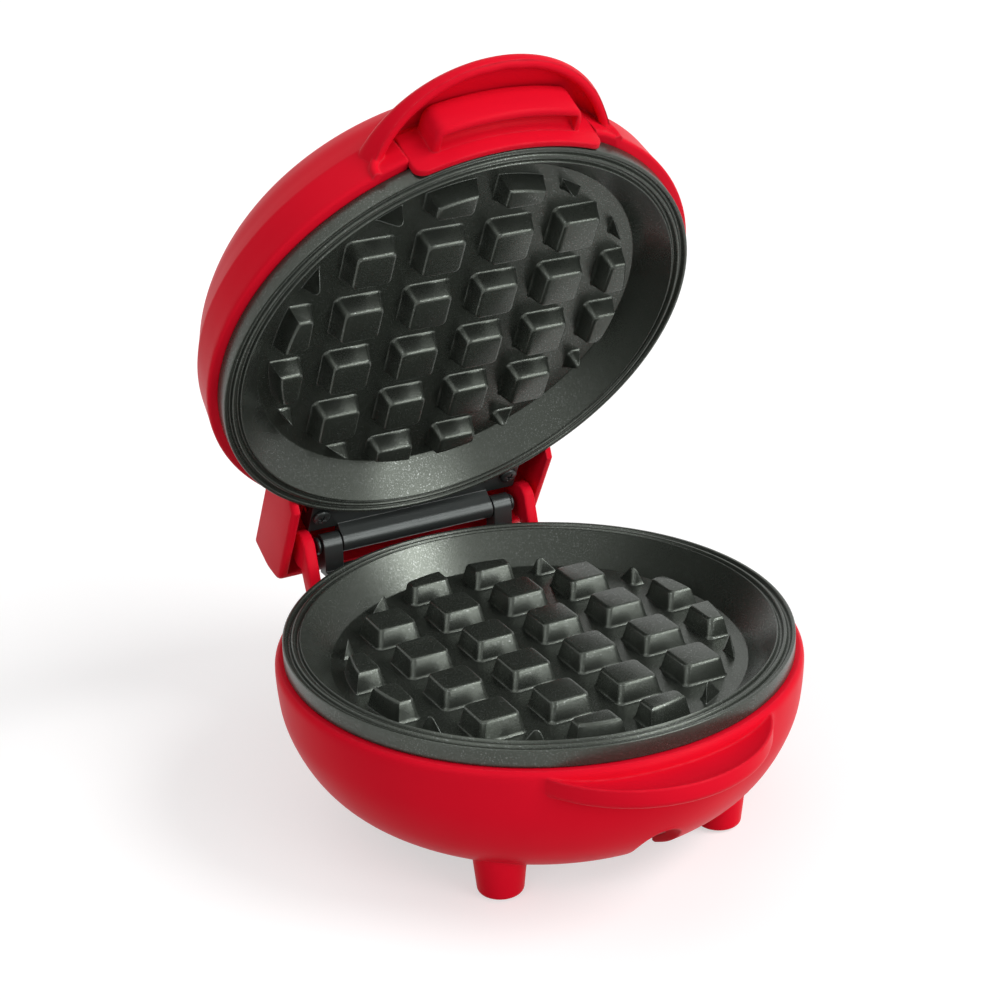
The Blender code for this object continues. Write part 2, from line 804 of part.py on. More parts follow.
def upper_housing():
    """The domed lid cover with the hood at its front and the hollow tail over the hinge."""
    tail_wall = prism(tail_outline(0.0), -tail_half_width, tail_half_width)
    tail_inside = prism(tail_outline(-housing_wall), -tail_half_width + housing_wall,
                        tail_half_width - housing_wall)
    hood = turned(hood_side(hood_brow, rim_high, hood_brow_height, hood_top_height, 0.0),
                  centre=(0.0, -hood_centre))
    shell = joined(cut(tail_wall, tail_inside), turned(dome_side()), hood)
    for x in (-upper_screw_x, upper_screw_x):
        shell = joined(shell, rod(hinge_boss_radius, (x, upper_screw_y, leaf_low + leaf_thickness + seat_gap),
                                  (x, upper_screw_y, tail_high), tiny_steps))
        rim = (math.copysign(leaf_half_width - leaf_rim - seat_gap, x),
               math.copysign(upper_screw_x + hinge_boss_radius + seat_gap, x))
        slot = block((min(rim), tail_front, leaf_low), (max(rim), leaf_rear, leaf_rim_top + seat_gap))
        shell = cut(shell, cut(slot, rod(plate_radius + swing_gap - seat_gap, (0.0, 0.0, leaf_low - overrun),
                                         (0.0, 0.0, leaf_rim_top + overrun), turn_steps)))
    window = block((-insert_half_width - seat_gap, -dome_radius - overrun, rim_high - overrun),
                   (insert_half_width + seat_gap, -seat_radius * window_share, insert_high + seat_gap))
    lens_hole = rod(lens_radius + seat_gap, (0.0, lens_y, lens_seat() - lens_flange),
                    (0.0, lens_y, lens_top() + overrun))
    plate_room = turned(((plate_radius + seat_gap, -lid_gap), (plate_radius + seat_gap, rim_high - seat_fall),
                         (seat_radius - overrun, rim_high + seat_fall)))
    shell = cut(shell, hood_space(), window, dome_hollow(), plate_room, lens_hole)
    for x, y in spots(post_circle, screw_count, math.pi / 2):
        shell = joined(shell, rod(post_radius, (x, y, lid_gap + pan_back + seat_gap),
                                  (x, y, rim_high + dome_height * post_height_share), tiny_steps))
    for x in (-upper_screw_x, upper_screw_x):
        shell = cut(shell, rod(screw_radius + pin_gap, (x, upper_screw_y, leaf_low),
                               (x, upper_screw_y, leaf_low + hinge_screw_length + overrun), tiny_steps))
    return shell


def bent_slab(inner, outer, low, high, half_width):
    """A slab bent about the dome's axis, at the front, as wide as two half widths."""
    ring = turned(((inner, low), (outer, low), (outer, high), (inner, high)), turn_steps * 2, ring=True)
    front = block((-half_width, -outer - overrun, low - overrun), (half_width, -inner / 2, high + overrun))
    return combined(front, ring, "INTERSECT")


def grip_insert():
    """The moulding under the hood: a bent tab, a finger ledge hollow behind, and a catch inside."""
    back = insert_radius - insert_wall
    corner = insert_corner
    tab_shape = [(-insert_half_width, insert_high), (-insert_half_width, insert_low + corner)]
    for side, first in ((-1.0, math.pi), (1.0, math.pi * 1.5)):
        centre = (side * (insert_half_width - corner), insert_low + corner)
        tab_shape += arc(centre, corner, first, first + math.pi / 2, 3)
    tab_shape = tab_shape[:1] + tab_shape[2:] + [(insert_half_width, insert_high)]
    tab = combined(prism(tab_shape, -insert_radius - overrun, -insert_radius / 2, along="y"),
                   turned(((back, insert_low - overrun), (insert_radius, insert_low - overrun),
                           (insert_radius, insert_high + overrun), (back, insert_high + overrun)),
                          turn_steps * 2, ring=True), "INTERSECT")
    ledge = bent_slab(insert_radius - insert_wall / 2, ledge_radius, ledge_low, insert_high, ledge_half_width)
    hollow = bent_slab(back - overrun, ledge_radius - ledge_wall, ledge_low + ledge_wall,
                       insert_high - insert_wall - seat_gap, ledge_half_width - ledge_wall)
    web = bent_slab(catch_radius - insert_wall, back + insert_wall / 2, insert_high - insert_wall,
                    insert_high, insert_half_width)
    catch = bent_slab(catch_radius - insert_wall, catch_radius, catch_low, insert_high - insert_wall / 2,
                      catch_half_width)
    return joined(cut(joined(tab, ledge), hollow), web, catch)


def barrel(start, end):
    return rod(barrel_radius, (start, hinge_y, hinge_z), (end, hinge_y, hinge_z))


def pin_bore(start, end):
    return rod(pin_radius + pin_gap, (start, hinge_y, hinge_z), (end, hinge_y, hinge_z), tiny_steps)


def upper_bracket():
    """The lid's half of the hinge: a crescent plate with turned-up ends and the long barrel."""
    top = leaf_low + leaf_thickness
    leaf = block((-leaf_half_width, tail_front, leaf_low), (leaf_half_width, leaf_rear, top))
    for side in (-1.0, 1.0):
        ends = sorted((side * leaf_half_width, side * (leaf_half_width - leaf_rim)))
        leaf = joined(leaf, block((ends[0], tail_front, leaf_low + leaf_thickness / 2),
                                  (ends[1], leaf_rear, leaf_rim_top)))
    web = prism(((leaf_rear - overrun, leaf_low), (hinge_y - barrel_radius, hinge_z),
                 (hinge_y, hinge_z), (hinge_y + barrel_radius / 2, hinge_z + barrel_radius * web_share),
                 (leaf_rear - overrun, top)), -barrel_half, barrel_half)
    round_room = turned(((plate_radius + swing_gap, lid_gap - overrun),
                         (plate_radius + swing_gap, leaf_rim_top + overrun)))
    leaf = cut(joined(leaf, web, barrel(-barrel_half, barrel_half)), round_room,
               pin_bore(-barrel_half - overrun, barrel_half + overrun))
    for x in (-upper_screw_x, upper_screw_x):
        leaf = cut(leaf, rod(screw_radius + pin_gap, (x, upper_screw_y, leaf_low - overrun),
                             (x, upper_screw_y, top + overrun), tiny_steps))
    return leaf


def lower_bracket():
    """The base's half of the hinge: a strap on the rear block with an end knuckle at each side."""
    low, top = -strap_top - strap_thickness, -strap_top
    strap = block((-knuckle_out, tail_front, low), (knuckle_out, strap_rear, top))
    for side in (-1.0, 1.0):
        ends = sorted((side * knuckle_in, side * knuckle_out))
        cheek = block((ends[0], hinge_y - barrel_radius, top - strap_thickness / 2),
                      (ends[1], hinge_y + barrel_radius * cheek_share, hinge_z))
        strap = joined(strap, joined(cheek, barrel(*ends)))
    bowl_room = turned(((bowl_radius + seat_gap * 2, low - overrun), (bowl_radius + seat_gap * 2, -plate_band)))
    strap = cut(strap, bowl_room, pin_bore(-knuckle_out - overrun, knuckle_out + overrun))
    for x in (-lower_screw_x, lower_screw_x):
        strap = cut(strap, rod(screw_radius + pin_gap, (x, lower_screw_y, low - overrun),
                               (x, lower_screw_y, top + overrun), tiny_steps))
    return strap


def hinge_pin():
    """A plain pin with a peened head at each end, just outside the end knuckles."""
    half = knuckle_out + seat_gap
    shaft = rod(pin_radius, (-half - pin_head / 2, hinge_y, hinge_z),
                (half + pin_head / 2, hinge_y, hinge_z), tiny_steps)
    for side in (-1.0, 1.0):
        shaft = joined(shaft, rod(pin_head_radius, (side * half, hinge_y, hinge_z),
                                  (side * (half + pin_head), hinge_y, hinge_z), tiny_steps))
    return shaft


def cord_bush():
    """The collar that lines the cord outlet, turned about the outlet's axis."""
    rear = gland_rear + seat_gap + bush_flange
    ring = turned(((bush_bore, 0.0), (bush_flange_radius, 0.0), (bush_flange_radius, -bush_flange),
                   (bush_radius, -bush_flange), (bush_radius, -bush_length), (bush_bore, -bush_length)),
                  small_steps, ring=True)
    stand = Matrix.Translation((0.0, rear, gland_height)) @ Matrix.Rotation(-math.pi / 2, 4, "X")
    bmesh.ops.transform(ring, verts=ring.verts, matrix=stand)
    return ring


def thermostat():
    """A disc thermostat that bears on the plate's back, with two blade terminals."""
    top = -plate_back - seat_gap
    shoulder = top - thermostat_step
    low = top - thermostat_height
    body = turned(((thermostat_radius, top), (thermostat_radius, shoulder),
                   (thermostat_cap_radius, shoulder), (thermostat_cap_radius, low)), small_steps)
    for side in (-1.0, 1.0):
        x = side * blade_offset
        body = joined(body, block((x - blade_thickness / 2, -blade_width / 2, low - blade_length),
                                  (x + blade_thickness / 2, blade_width / 2, low + overrun)))
    return body


def thermal_fuse():
    """A cartridge fuse in its sleeve, lying under the reflector pan."""
    height = -pan_back - seat_gap - fuse_radius
    return rod(fuse_radius, (-fuse_length / 2, fuse_y, height), (fuse_length / 2, fuse_y, height), tiny_steps)


def terminal_block():
    """A ceramic two-way connector on the floor of the base."""
    low = -bowl_floor + seat_gap
    body = block((-block_width / 2, block_y - block_depth / 2, low),
                 (block_width / 2, block_y + block_depth / 2, low + block_height))
    for side in (-1.0, 1.0):
        x = side * block_width / 4
        hole = rod(block_height / 4, (x, block_y - block_depth, low + block_height / 2),
                   (x, block_y + block_depth, low + block_height / 2), tiny_steps)
        body = cut(body, hole)
    return body


def dome_level(radius):
    """How high the outside of the dome stands at a distance from its axis."""
    side = dome_side()
    for (wide, low), (narrow, high) in zip(side, side[1:]):
        if narrow <= radius <= wide:
            return low + (high - low) * (wide - radius) / (wide - narrow)
    return side[-1][1]


def lens_seat():
    """Where the lens flange bears on the lid, at the flange's lower side."""
    return dome_level(lens_flange_radius - lens_y) - housing_wall - seat_gap


def lens_top():
    return lens_seat() + seat_gap + housing_wall + lens_proud


def pilot_lens():
    """A clear cap through the top of the lid, open below, with a flange inside the lid."""
    bore = lens_radius - lens_wall
    seat, top = lens_seat(), lens_top()
    return turned(((bore, top - lens_wall * 2), (bore, seat - lens_flange),
                   (lens_flange_radius, seat - lens_flange), (lens_flange_radius, seat),
                   (lens_radius, seat), (lens_radius, top - lens_wall), (bore, top)),
                  small_steps, centre=(0.0, lens_y))


def pilot_lamp():
    top = lens_top() - lens_wall * 2 - seat_gap
    wide, narrow = lamp_tip_shares
    return turned(((lamp_radius, top - lamp_length), (lamp_radius, top - lamp_radius),
                   (lamp_radius * wide, top - lamp_radius * narrow), (lamp_radius * narrow, top)),
                  tiny_steps, centre=(0.0, lens_y))


def build():
    clear_scene()
    base = bpy.data.objects.new("base_frame", None)
    lid = bpy.data.objects.new("lid_hinge_axis", None)
    for frame in (base, lid):
        bpy.context.scene.collection.objects.link(frame)
    base.location = (0.0, -axis_forward, table_drop)
    lid.parent = base
    lid.location = (0.0, hinge_y, hinge_z)
    lid.rotation_euler = (-open_angle, 0.0, 0.0)
    hinge = (0.0, hinge_y, hinge_z)

    red = material("red_plastic", (0.62, 0.010, 0.030), 0.38)
    black = material("black_coated_steel", (0.025, 0.028, 0.028), 0.45, 0.6)
    coating = material("nonstick_coating", (0.050, 0.058, 0.055), 0.42, 0.55)
    bright = material("bright_steel", (0.55, 0.55, 0.56), 0.30, 1.0)
    sheath = material("element_sheath", (0.20, 0.20, 0.21), 0.45, 0.9)
    rubber = material("dark_rubber", (0.03, 0.03, 0.03), 0.8)
    ceramic = material("white_ceramic", (0.80, 0.79, 0.75), 0.5)
    amber = material("amber_lens", (0.75, 0.30, 0.05), 0.15)
    glass = material("lamp_glass", (0.80, 0.60, 0.45), 0.1)
    bakelite = material("brown_resin", (0.10, 0.05, 0.03), 0.5)

    piece("lower_housing", lower_housing(), red, base)
    for x, side in ((-foot_x, "left"), (foot_x, "right")):
        for y, end in ((-foot_y, "front"), (foot_y, "rear")):
            piece(f"foot_pad_{end}_{side}", foot_pad(x, y), rubber, base)
    piece("lower_plate", cooking_plate(), coating, base)
    piece("lower_heating_element", heating_element(), sheath, base)
    piece("lower_reflector", reflector_pan(), bright, base)
    for number, (x, y) in enumerate(spots(boss_circle, screw_count, math.pi / 2), 1):
        seat = -bowl_foot_height + screw_head_height
        tip = -plate_back - boss_height + screw_depth
        piece(f"lower_plate_screw_{number}", screw(x, y, seat, tip), bright, base)
    piece("lower_hinge_bracket", lower_bracket(), black, base)
    piece("hinge_pin", hinge_pin(), black, base)
    for x, side in ((-lower_screw_x, "left"), (lower_screw_x, "right")):
        shape = screw(x, lower_screw_y, -strap_top + seat_gap, -strap_top - hinge_screw_length + seat_gap,
                      hinge_screw_head_radius, hinge_screw_head)
        piece(f"lower_hinge_screw_{side}", shape, black, base)
    piece("cord_bush", cord_bush(), rubber, base)
    piece("thermostat", thermostat(), bakelite, base)
    piece("thermal_fuse", thermal_fuse(), ceramic, base)
    piece("terminal_block", terminal_block(), ceramic, base)

    piece("upper_housing", upper_housing(), red, lid, hinge)
    piece("grip_insert", grip_insert(), red, lid, hinge)
    piece("upper_plate", flipped(cooking_plate()), coating, lid, hinge)
    piece("upper_heating_element", flipped(heating_element()), sheath, lid, hinge)
    piece("upper_reflector", flipped(reflector_pan()), bright, lid, hinge)
    for number, (x, y) in enumerate(spots(boss_circle, screw_count, math.pi / 2), 1):
        seat = lid_gap + pan_back + seat_gap
        tip = lid_gap + plate_back + boss_height - screw_depth
        piece(f"upper_plate_screw_{number}", screw(x, y, seat, tip), bright, lid, hinge)
    piece("upper_hinge_bracket", upper_bracket(), black, lid, hinge)
    for x, side in ((-upper_screw_x, "left"), (upper_screw_x, "right")):
        shape = screw(x, upper_screw_y, leaf_low - seat_gap, leaf_low + hinge_screw_length,
                      hinge_screw_head_radius, hinge_screw_head)
        piece(f"upper_hinge_screw_{side}", shape, black, lid, hinge)
    piece("pilot_lens", pilot_lens(), amber, lid, hinge)
    piece("pilot_lamp", pilot_lamp(), glass, lid, hinge)


build()
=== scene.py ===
"""Looks of the mini waffle maker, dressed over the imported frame.

The frame has +Z up and the front towards -Y. Shapes are drawn about the parting plane, as in
the part's source: z is 0 on the lower plate's flange, y is 0 on the plates' axis, and the lid
is drawn shut. They are then set on the table, and the lid is turned open about its hinge.
"""
import math

import bmesh
import bpy
from mathutils import Matrix, Vector


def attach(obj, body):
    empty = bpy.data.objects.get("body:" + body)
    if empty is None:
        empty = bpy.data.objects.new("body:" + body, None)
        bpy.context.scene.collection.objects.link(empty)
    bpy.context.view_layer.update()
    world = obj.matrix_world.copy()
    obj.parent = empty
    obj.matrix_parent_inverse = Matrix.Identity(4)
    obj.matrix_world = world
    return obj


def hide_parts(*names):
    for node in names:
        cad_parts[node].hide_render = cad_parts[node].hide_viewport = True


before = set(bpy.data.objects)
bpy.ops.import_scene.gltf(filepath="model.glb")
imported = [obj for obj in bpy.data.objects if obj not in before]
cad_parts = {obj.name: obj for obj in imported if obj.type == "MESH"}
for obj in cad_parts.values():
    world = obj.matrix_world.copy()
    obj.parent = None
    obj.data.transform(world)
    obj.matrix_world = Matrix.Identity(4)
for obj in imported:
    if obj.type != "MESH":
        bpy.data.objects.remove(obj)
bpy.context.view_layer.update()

MM = 0.001
scene = bpy.context.scene

# Where things stand, as in the part's source
table_drop = 0.0525
axis_forward = 0.00782
open_angle = math.radians(60.94)
hinge_y, hinge_z = 0.0773, 0.0011

seat_gap, overrun, lid_gap = 0.0003, 0.0010, 0.0024

# Plates and their studs
plate_radius, plate_band = 0.0700, 0.0049
skirt_wall, flange_depth = 0.0022, 0.0030
flange_inner_radius, floor_radius = 0.0650, 0.0573
hollow_depth, floor_thickness, plate_wall = 0.0090, 0.0030, 0.0026
groove_radii, groove_half_width, groove_depth = (0.0660, 0.0683), 0.0008, 0.0011
groove_floor_share, plate_ease, floor_rim = 0.4, 0.3 * MM, 4 * MM
stud_pitch, stud_count, stud_recess = 0.02045, 6, 0.0034
stud_face, stud_foot = 0.0112, 0.0138
stud_circle_foot, stud_circle_face = 0.0537, 0.0523
stud_ease, stud_corner, stud_corner_share = 0.75 * MM, 1.6 * MM, 0.6
# The flare of a stud's foot: height over the hollow's floor, width added at each side, corner
stud_flare = ((-overrun, 0.25 * MM, 1.9 * MM), (0.02 * MM, 0.25 * MM, 1.9 * MM),
              (0.2 * MM, 0.05 * MM, 1.8 * MM))
stud_flare_end, stud_flare_corner = 0.8 * MM, 1.7 * MM
# The soft edge of the circle that cuts the studs: how far inside it, height over their faces
circle_ease, circle_edge = 0.7 * MM, ((0.1 * MM, -0.3 * MM), (0.5 * MM, 0.02 * MM), (0.5 * MM, overrun))
boss_circle, boss_radius, boss_height, screw_count = 0.0220, 0.0038, 0.0069, 3
screw_radius, screw_depth, pin_gap = 0.0016, 0.0050, 0.0003

# Lower housing
bowl_radius, bowl_foot_height, housing_wall, seat_fall = 0.0724, 0.0446, 0.0024, 0.0001
seat_radius, seat_thickness, bowl_floor = 0.0672, 0.0024, 0.0361
bowl_side_shares = (
    (0.985, 0.0), (1.0, 0.045), (0.996, 0.223), (0.984, 0.376), (0.955, 0.528),
    (0.911, 0.680), (0.855, 0.807), (0.786, 0.909), (0.700, 1.0))
hub_radius, hub_floor, wrap_ceiling = 0.0330, 0.0030, 0.0385
notch_radius, notch_top, notch_inner = 0.0065, 0.0302, 0.0420
foot_x, foot_y, foot_top_radius, foot_end_radius = 0.0338, 0.0391, 0.0077, 0.0062
foot_ease, foot_flat, bowl_ease, bowl_flat = 0.00117, 0.0040, 0.8 * MM, 3 * MM
pad_radius, pad_proud, pad_sunk = 0.0040, 0.0005, 0.0012
lip_centre, lip_radius = 0.0476, 0.0373
lip_edge, lip_face = 0.0066, 0.0054
lip_lean, lip_edge_ease, lip_foot_ease = 0.05 * MM, 0.45 * MM, 1.9 * MM
lip_dish_line = ((0.0140, 0.0086), (0.0090, 0.0085), (0.0050, 0.0080), (0.0020, 0.0072), (0.0006, 0.00665))
lip_under_depth = 0.0180
lip_under_shares = ((0.83, 0.09), (0.70, 0.26), (0.60, 0.52), (0.53, 1.0))

# Upper housing
dome_radius, dome_height, dome_crease_ease = 0.0726, 0.0400, 0.9 * MM
dome_side_shares = (
    (0.992, 0.0), (1.0, 0.02), (0.994, 0.110), (0.984, 0.285), (0.955, 0.400), (0.912, 0.560),
    (0.838, 0.720), (0.710, 0.860), (0.490, 0.953), (0.200, 1.0))
grip_centre, hood_brow, hood_wall = 0.0507, 0.0376, 0.0024
hood_brow_height, hood_top_height = 0.0172, 0.0395
hood_side_shares = ((0.960, 0.0), (0.982, 0.50), (1.0, 1.0))
hood_top_shares = ((0.962, 0.11), (0.850, 0.26), (0.725, 0.43), (0.565, 0.62), (0.365, 0.82), (0.175, 1.0))
arch_half_width, arch_height, arch_power, arch_steps = 0.0350, 0.0158, 3.5, 40
mouth_reach_share, window_share = 1.2, 0.93
rim_bead, rim_rise, rim_sunk_share, rim_cut = 0.0013, 1.06, 0.4, 0.05 * MM
hood_ceiling = ((0.0950, 0.0150), (0.0600, 0.0201))
seam = 0.00012

# Grip insert
insert_half_width, insert_low, insert_high, insert_radius = 0.0270, 0.0022, 0.0172, 0.0722
insert_wall, insert_corner, core_share = 0.0016, 0.0035, 0.8
ledge_half_width, ledge_low, ledge_radius, insert_ease = 0.0212, 0.0068, 0.0788, 0.5 * MM
catch_half_width, catch_radius, catch_low = 0.0310, 0.0682, 0.0120
ledge_ease, ledge_corner, pocket_depth, pocket_rim = 0.0012, 0.0042, 0.0030, 0.0019
pocket_mouth, pocket_ease = 0.8 * MM, 0.8 * MM
# The pocket's depth as a line: out from the tab or back from its front, and down from the deepest
pocket_back_line = ((0.8 * MM, 1.2 * MM), (2.0 * MM, 0.2 * MM))
pocket_front_line = ((1.6 * MM, 0.0), (0.4 * MM, 0.8 * MM))

# Hinge
pin_radius, pin_head_radius, pin_head, pin_head_ease = 0.0015, 0.0026, 0.0013, 0.4 * MM
barrel_radius, barrel_half, knuckle_in, knuckle_out = 0.0033, 0.0249, 0.0254, 0.0313
web_share, cheek_share = 0.8, 0.72
leaf_half_width, leaf_low, leaf_thickness, leaf_rear = 0.0343, 0.0046, 0.0025, 0.0742
leaf_rim, leaf_rim_top, swing_gap = 0.0015, 0.0102, 0.0010
upper_screw_x, upper_screw_y = 0.0311, 0.0677
hinge_head_radius, hinge_head, hinge_screw_length, hinge_boss_radius = 0.0027, 0.0014, 0.0080, 0.0036
strap_rear, strap_top, strap_thickness = 0.0780, 0.0064, 0.0015
lower_screw_x, lower_screw_y = 0.0276, 0.0703
ear_in, ear_out, ear_radius, ear_ease = 0.0348, 0.0384, 0.0058, 0.5 * MM
ear_first, ear_last, ear_back_share, ear_root_share = math.radians(-102), math.radians(150), 0.65, 0.6
block_rear, block_slope_y, block_slope_z = 0.0742, 0.0720, 0.0145
block_foot_y, block_foot_z = 0.0600, 0.0260
tail_half_width, tail_front, tail_rear, tail_low = 0.0430, 0.0590, 0.0932, 0.0004
tail_chin_y, tail_chin_z, tail_step_z, tail_high = 0.0885, 0.0004, 0.0088, 0.0198
tail_root, tail_heel, hinge_boss_sunk = 0.0500, (0.0909, 0.0020), 1.2 * MM
tail_line_ease, tail_side_ease, tail_chin_share, tail_step_share = 1.8 * MM, 1.6 * MM, 0.65, 0.3

# Cord gland, pilot light and plate screws
gland_height, gland_boss_radius, gland_rear, bush_radius = -0.0275, 0.0070, 0.0726, 0.0050
lens_y, lens_radius, lens_flange_radius, lens_flange = -0.0340, 0.0035, 0.0050, 0.0012
lens_proud, lens_wall, pan_sheet, gland_ease = 0.0016, 0.0010, 0.0008, 0.7 * MM
plate_head_radius, plate_head = 0.0031, 0.0016
thread_pitch, thread_depth, thread_tip_share = 0.0007, 0.15 * MM, 0.4
head_rim_share, recess_depth_share, recess_wide_share, recess_thin_share = 0.35, 0.25, 0.62, 0.14
recess_mouth_share, recess_taper, recess_turn = 1.3, 0.62, math.radians(23)

# Fineness, and the angles from which an edge counts as sharp
turn_steps, small_steps = 160, 40
merge_distance, side_share = 0.000001, 0.48
flat_angle, tab_sharp, wall_sharp, shade_sharp = (math.radians(angle) for angle in (0.5, 50, 60, 38))

lower_screws = [(side * lower_screw_x, lower_screw_y) for side in (-1.0, 1.0)]
upper_screws = [(side * upper_screw_x, upper_screw_y) for side in (-1.0, 1.0)]
rim_low = -(plate_band + seat_gap)
rim_high = lid_gap + plate_band + seat_gap
bowl_height = bowl_foot_height + rim_low
plate_back = hollow_depth + floor_thickness
pan_back = plate_back + boss_height + seat_gap + pan_sheet

on_table = Matrix.Translation((0.0, -axis_forward, table_drop))
to_hinge = Matrix.Translation((0.0, hinge_y, hinge_z))
lid_open = on_table @ to_hinge @ Matrix.Rotation(-open_angle, 4, "X") @ to_hinge.inverted()


# Shapes

def turned(profile, steps=turn_steps, centre=(0.0, 0.0), ring=False):
    """Spin a profile of (radius, height) points about an upright axis, and cap its open ends."""
    shape = bmesh.new()
    points = [shape.verts.new((radius, 0.0, height)) for radius, height in profile]
    edges = [shape.edges.new(pair) for pair in zip(points, points[1:])]
    if ring:
        edges.append(shape.edges.new((points[-1], points[0])))
    bmesh.ops.spin(shape, geom=points + edges, cent=(0.0, 0.0, 0.0), axis=(0.0, 0.0, 1.0),
                   angle=math.tau, steps=steps, use_merge=False)
    bmesh.ops.remove_doubles(shape, verts=shape.verts, dist=merge_distance)
    bmesh.ops.holes_fill(shape, edges=[edge for edge in shape.edges if edge.is_boundary], sides=0)
    bmesh.ops.recalc_face_normals(shape, faces=shape.faces)
    bmesh.ops.translate(shape, verts=shape.verts, vec=(centre[0], centre[1], 0.0))
    return shape


def prism(outline, start, end, along="x"):
    """Extrude a closed outline. Along x its points are (y, z), along y (x, z), along z (x, y)."""
    axis, travel = "xyz".index(along), Vector()
    travel[axis] = end - start
    shape = bmesh.new()
    face = shape.faces.new([shape.verts.new((*point[:axis], start, *point[axis:])) for point in outline])
    pushed = bmesh.ops.extrude_face_region(shape, geom=[face])
    moved = [item for item in pushed["geom"] if isinstance(item, bmesh.types.BMVert)]
    bmesh.ops.translate(shape, verts=moved, vec=travel)
    bmesh.ops.recalc_face_normals(shape, faces=shape.faces)
    return shape


def block(low, high):
    outline = ((low[0], low[1]), (high[0], low[1]), (high[0], high[1]), (low[0], high[1]))
    return prism(outline, low[2], high[2], along="z")


def rod(radius, start, end, steps=small_steps, ease=0.0):
    """A round bar between two points, with eased ends where that is asked for."""
    start, end = Vector(start), Vector(end)
    length = (end - start).length
    profile = [(radius, 0.0), (radius, length)]
    if ease:
        profile = [(radius - ease, 0.0), (radius, ease), (radius, length - ease), (radius - ease, length)]
        profile = eased(profile, ease / 2, 3)
    shape = turned(profile, steps)
    turn = Vector((0.0, 0.0, 1.0)).rotation_difference(end - start).to_matrix().to_4x4()
    bmesh.ops.transform(shape, verts=shape.verts, matrix=Matrix.Translation(start) @ turn)
    return shape


def arc(centre, radius, first, last, steps):
    return [(centre[0] + radius * math.cos(first + (last - first) * step / steps),
             centre[1] + radius * math.sin(first + (last - first) * step / steps))
            for step in range(steps + 1)]


def flowing(points, between=6):
    """A smooth line through all the points."""
    line = [Vector(point) for point in points]
    out = []
    for index in range(len(line) - 1):
        a, b = line[max(index - 1, 0)], line[index]
        c, d = line[index + 1], line[min(index + 2, len(line) - 1)]
        for step in range(between):
            t = step / between
            out.append(tuple(0.5 * (2 * b + (c - a) * t + (2 * a - 5 * b + 4 * c - d) * t * t
                                    + (3 * b - a - 3 * c + d) * t ** 3)))
    return out + [tuple(line[-1])]


def eased(points, ease, steps):
    """Round each corner of a line, starting at most this far from the corner on each side of it."""
    line = [Vector(point) for point in points]
    out = [tuple(line[0])]
    for before, corner, after in zip(line, line[1:], line[2:]):
        before, after = before - corner, after - corner
        start = corner + before.normalized() * min(ease, before.length * side_share)
        end = corner + after.normalized() * min(ease, after.length * side_share)
        for step in range(steps + 1):
            t = step / steps
            out.append(tuple(start * (1 - t) ** 2 + corner * 2 * t * (1 - t) + end * t * t))
    return out + [tuple(line[-1])]


def softened(shape, ease, steps, angle):
    """Round the edges of a shape that are sharper than an angle."""
    bmesh.ops.dissolve_limit(shape, angle_limit=flat_angle, verts=shape.verts, edges=shape.edges)
    sharp = [edge for edge in shape.edges if edge.is_manifold and edge.calc_face_angle(0.0) > angle]
    bmesh.ops.bevel(shape, geom=sharp, offset=ease, offset_type="OFFSET", segments=steps, profile=0.5,
                    affect="EDGES", clamp_overlap=True)
    bmesh.ops.remove_doubles(shape, verts=shape.verts, dist=merge_distance)
    return shape


def gathered(*shapes):
    """Put shapes that don't touch into one."""
    whole = bmesh.new()
    for shape in shapes:
        mesh = bpy.data.meshes.new("part")
        shape.to_mesh(mesh)
        shape.free()
        whole.from_mesh(mesh)
        bpy.data.meshes.remove(mesh)
    return whole


def as_object(shape, name):
    mesh = bpy.data.meshes.new(name)
    shape.to_mesh(mesh)
    shape.free()
    thing = bpy.data.objects.new(name, mesh)
    scene.collection.objects.link(thing)
    return thing


def combined(body, tool, operation, crossing=False):
    first = as_object(body, "first_shape")
    second = as_object(tool, "second_shape")
    change = first.modifiers.new("change", "BOOLEAN")
    change.operation = operation
    change.solver = "EXACT"
    change.use_self = crossing
    change.object = second
    graph = bpy.context.evaluated_depsgraph_get()
    result = bmesh.new()
    result.from_mesh(first.evaluated_get(graph).to_mesh())
    for thing in (first, second):
        mesh = thing.data
        bpy.data.objects.remove(thing, do_unlink=True)
        bpy.data.meshes.remove(mesh)
    bmesh.ops.remove_doubles(result, verts=result.verts, dist=merge_distance)
    return result


def joined(body, *tools):
    for tool in tools:
        body = combined(body, tool, "UNION")
    return body


def cut(body, *tools):
    for tool in tools:
        body = combined(body, tool, "DIFFERENCE")
    return body


def offset_inward(points, distance):
    """Shift a profile of (radius, height) points to its inner side by a wall's thickness."""
    shifted = []
    for index, point in enumerate(points):
        before = Vector(points[max(index - 1, 0)])
        after = Vector(points[min(index + 1, len(points) - 1)])
        run = (after - before).normalized()
        side = Vector((-run.y, run.x))
        if side.x > 0.0 or (abs(side.x) < abs(side.y) * 0.01 and side.y > 0.0):
            side = -side
        shifted.append((point[0] + side.x * distance, point[1] + side.y * distance))
    return shifted


def spots(circle, count):
    """Places evenly spaced on a circle, the first of them at the rear."""
    return [(circle * math.cos(math.pi / 2 + math.tau * step / count),
             circle * math.sin(math.pi / 2 + math.tau * step / count)) for step in range(count)]


def uprights(radius, places, start, end):
    """Upright round bars of one size at several places."""
    return gathered(*[rod(radius, (x, y, start), (x, y, end)) for x, y in places])


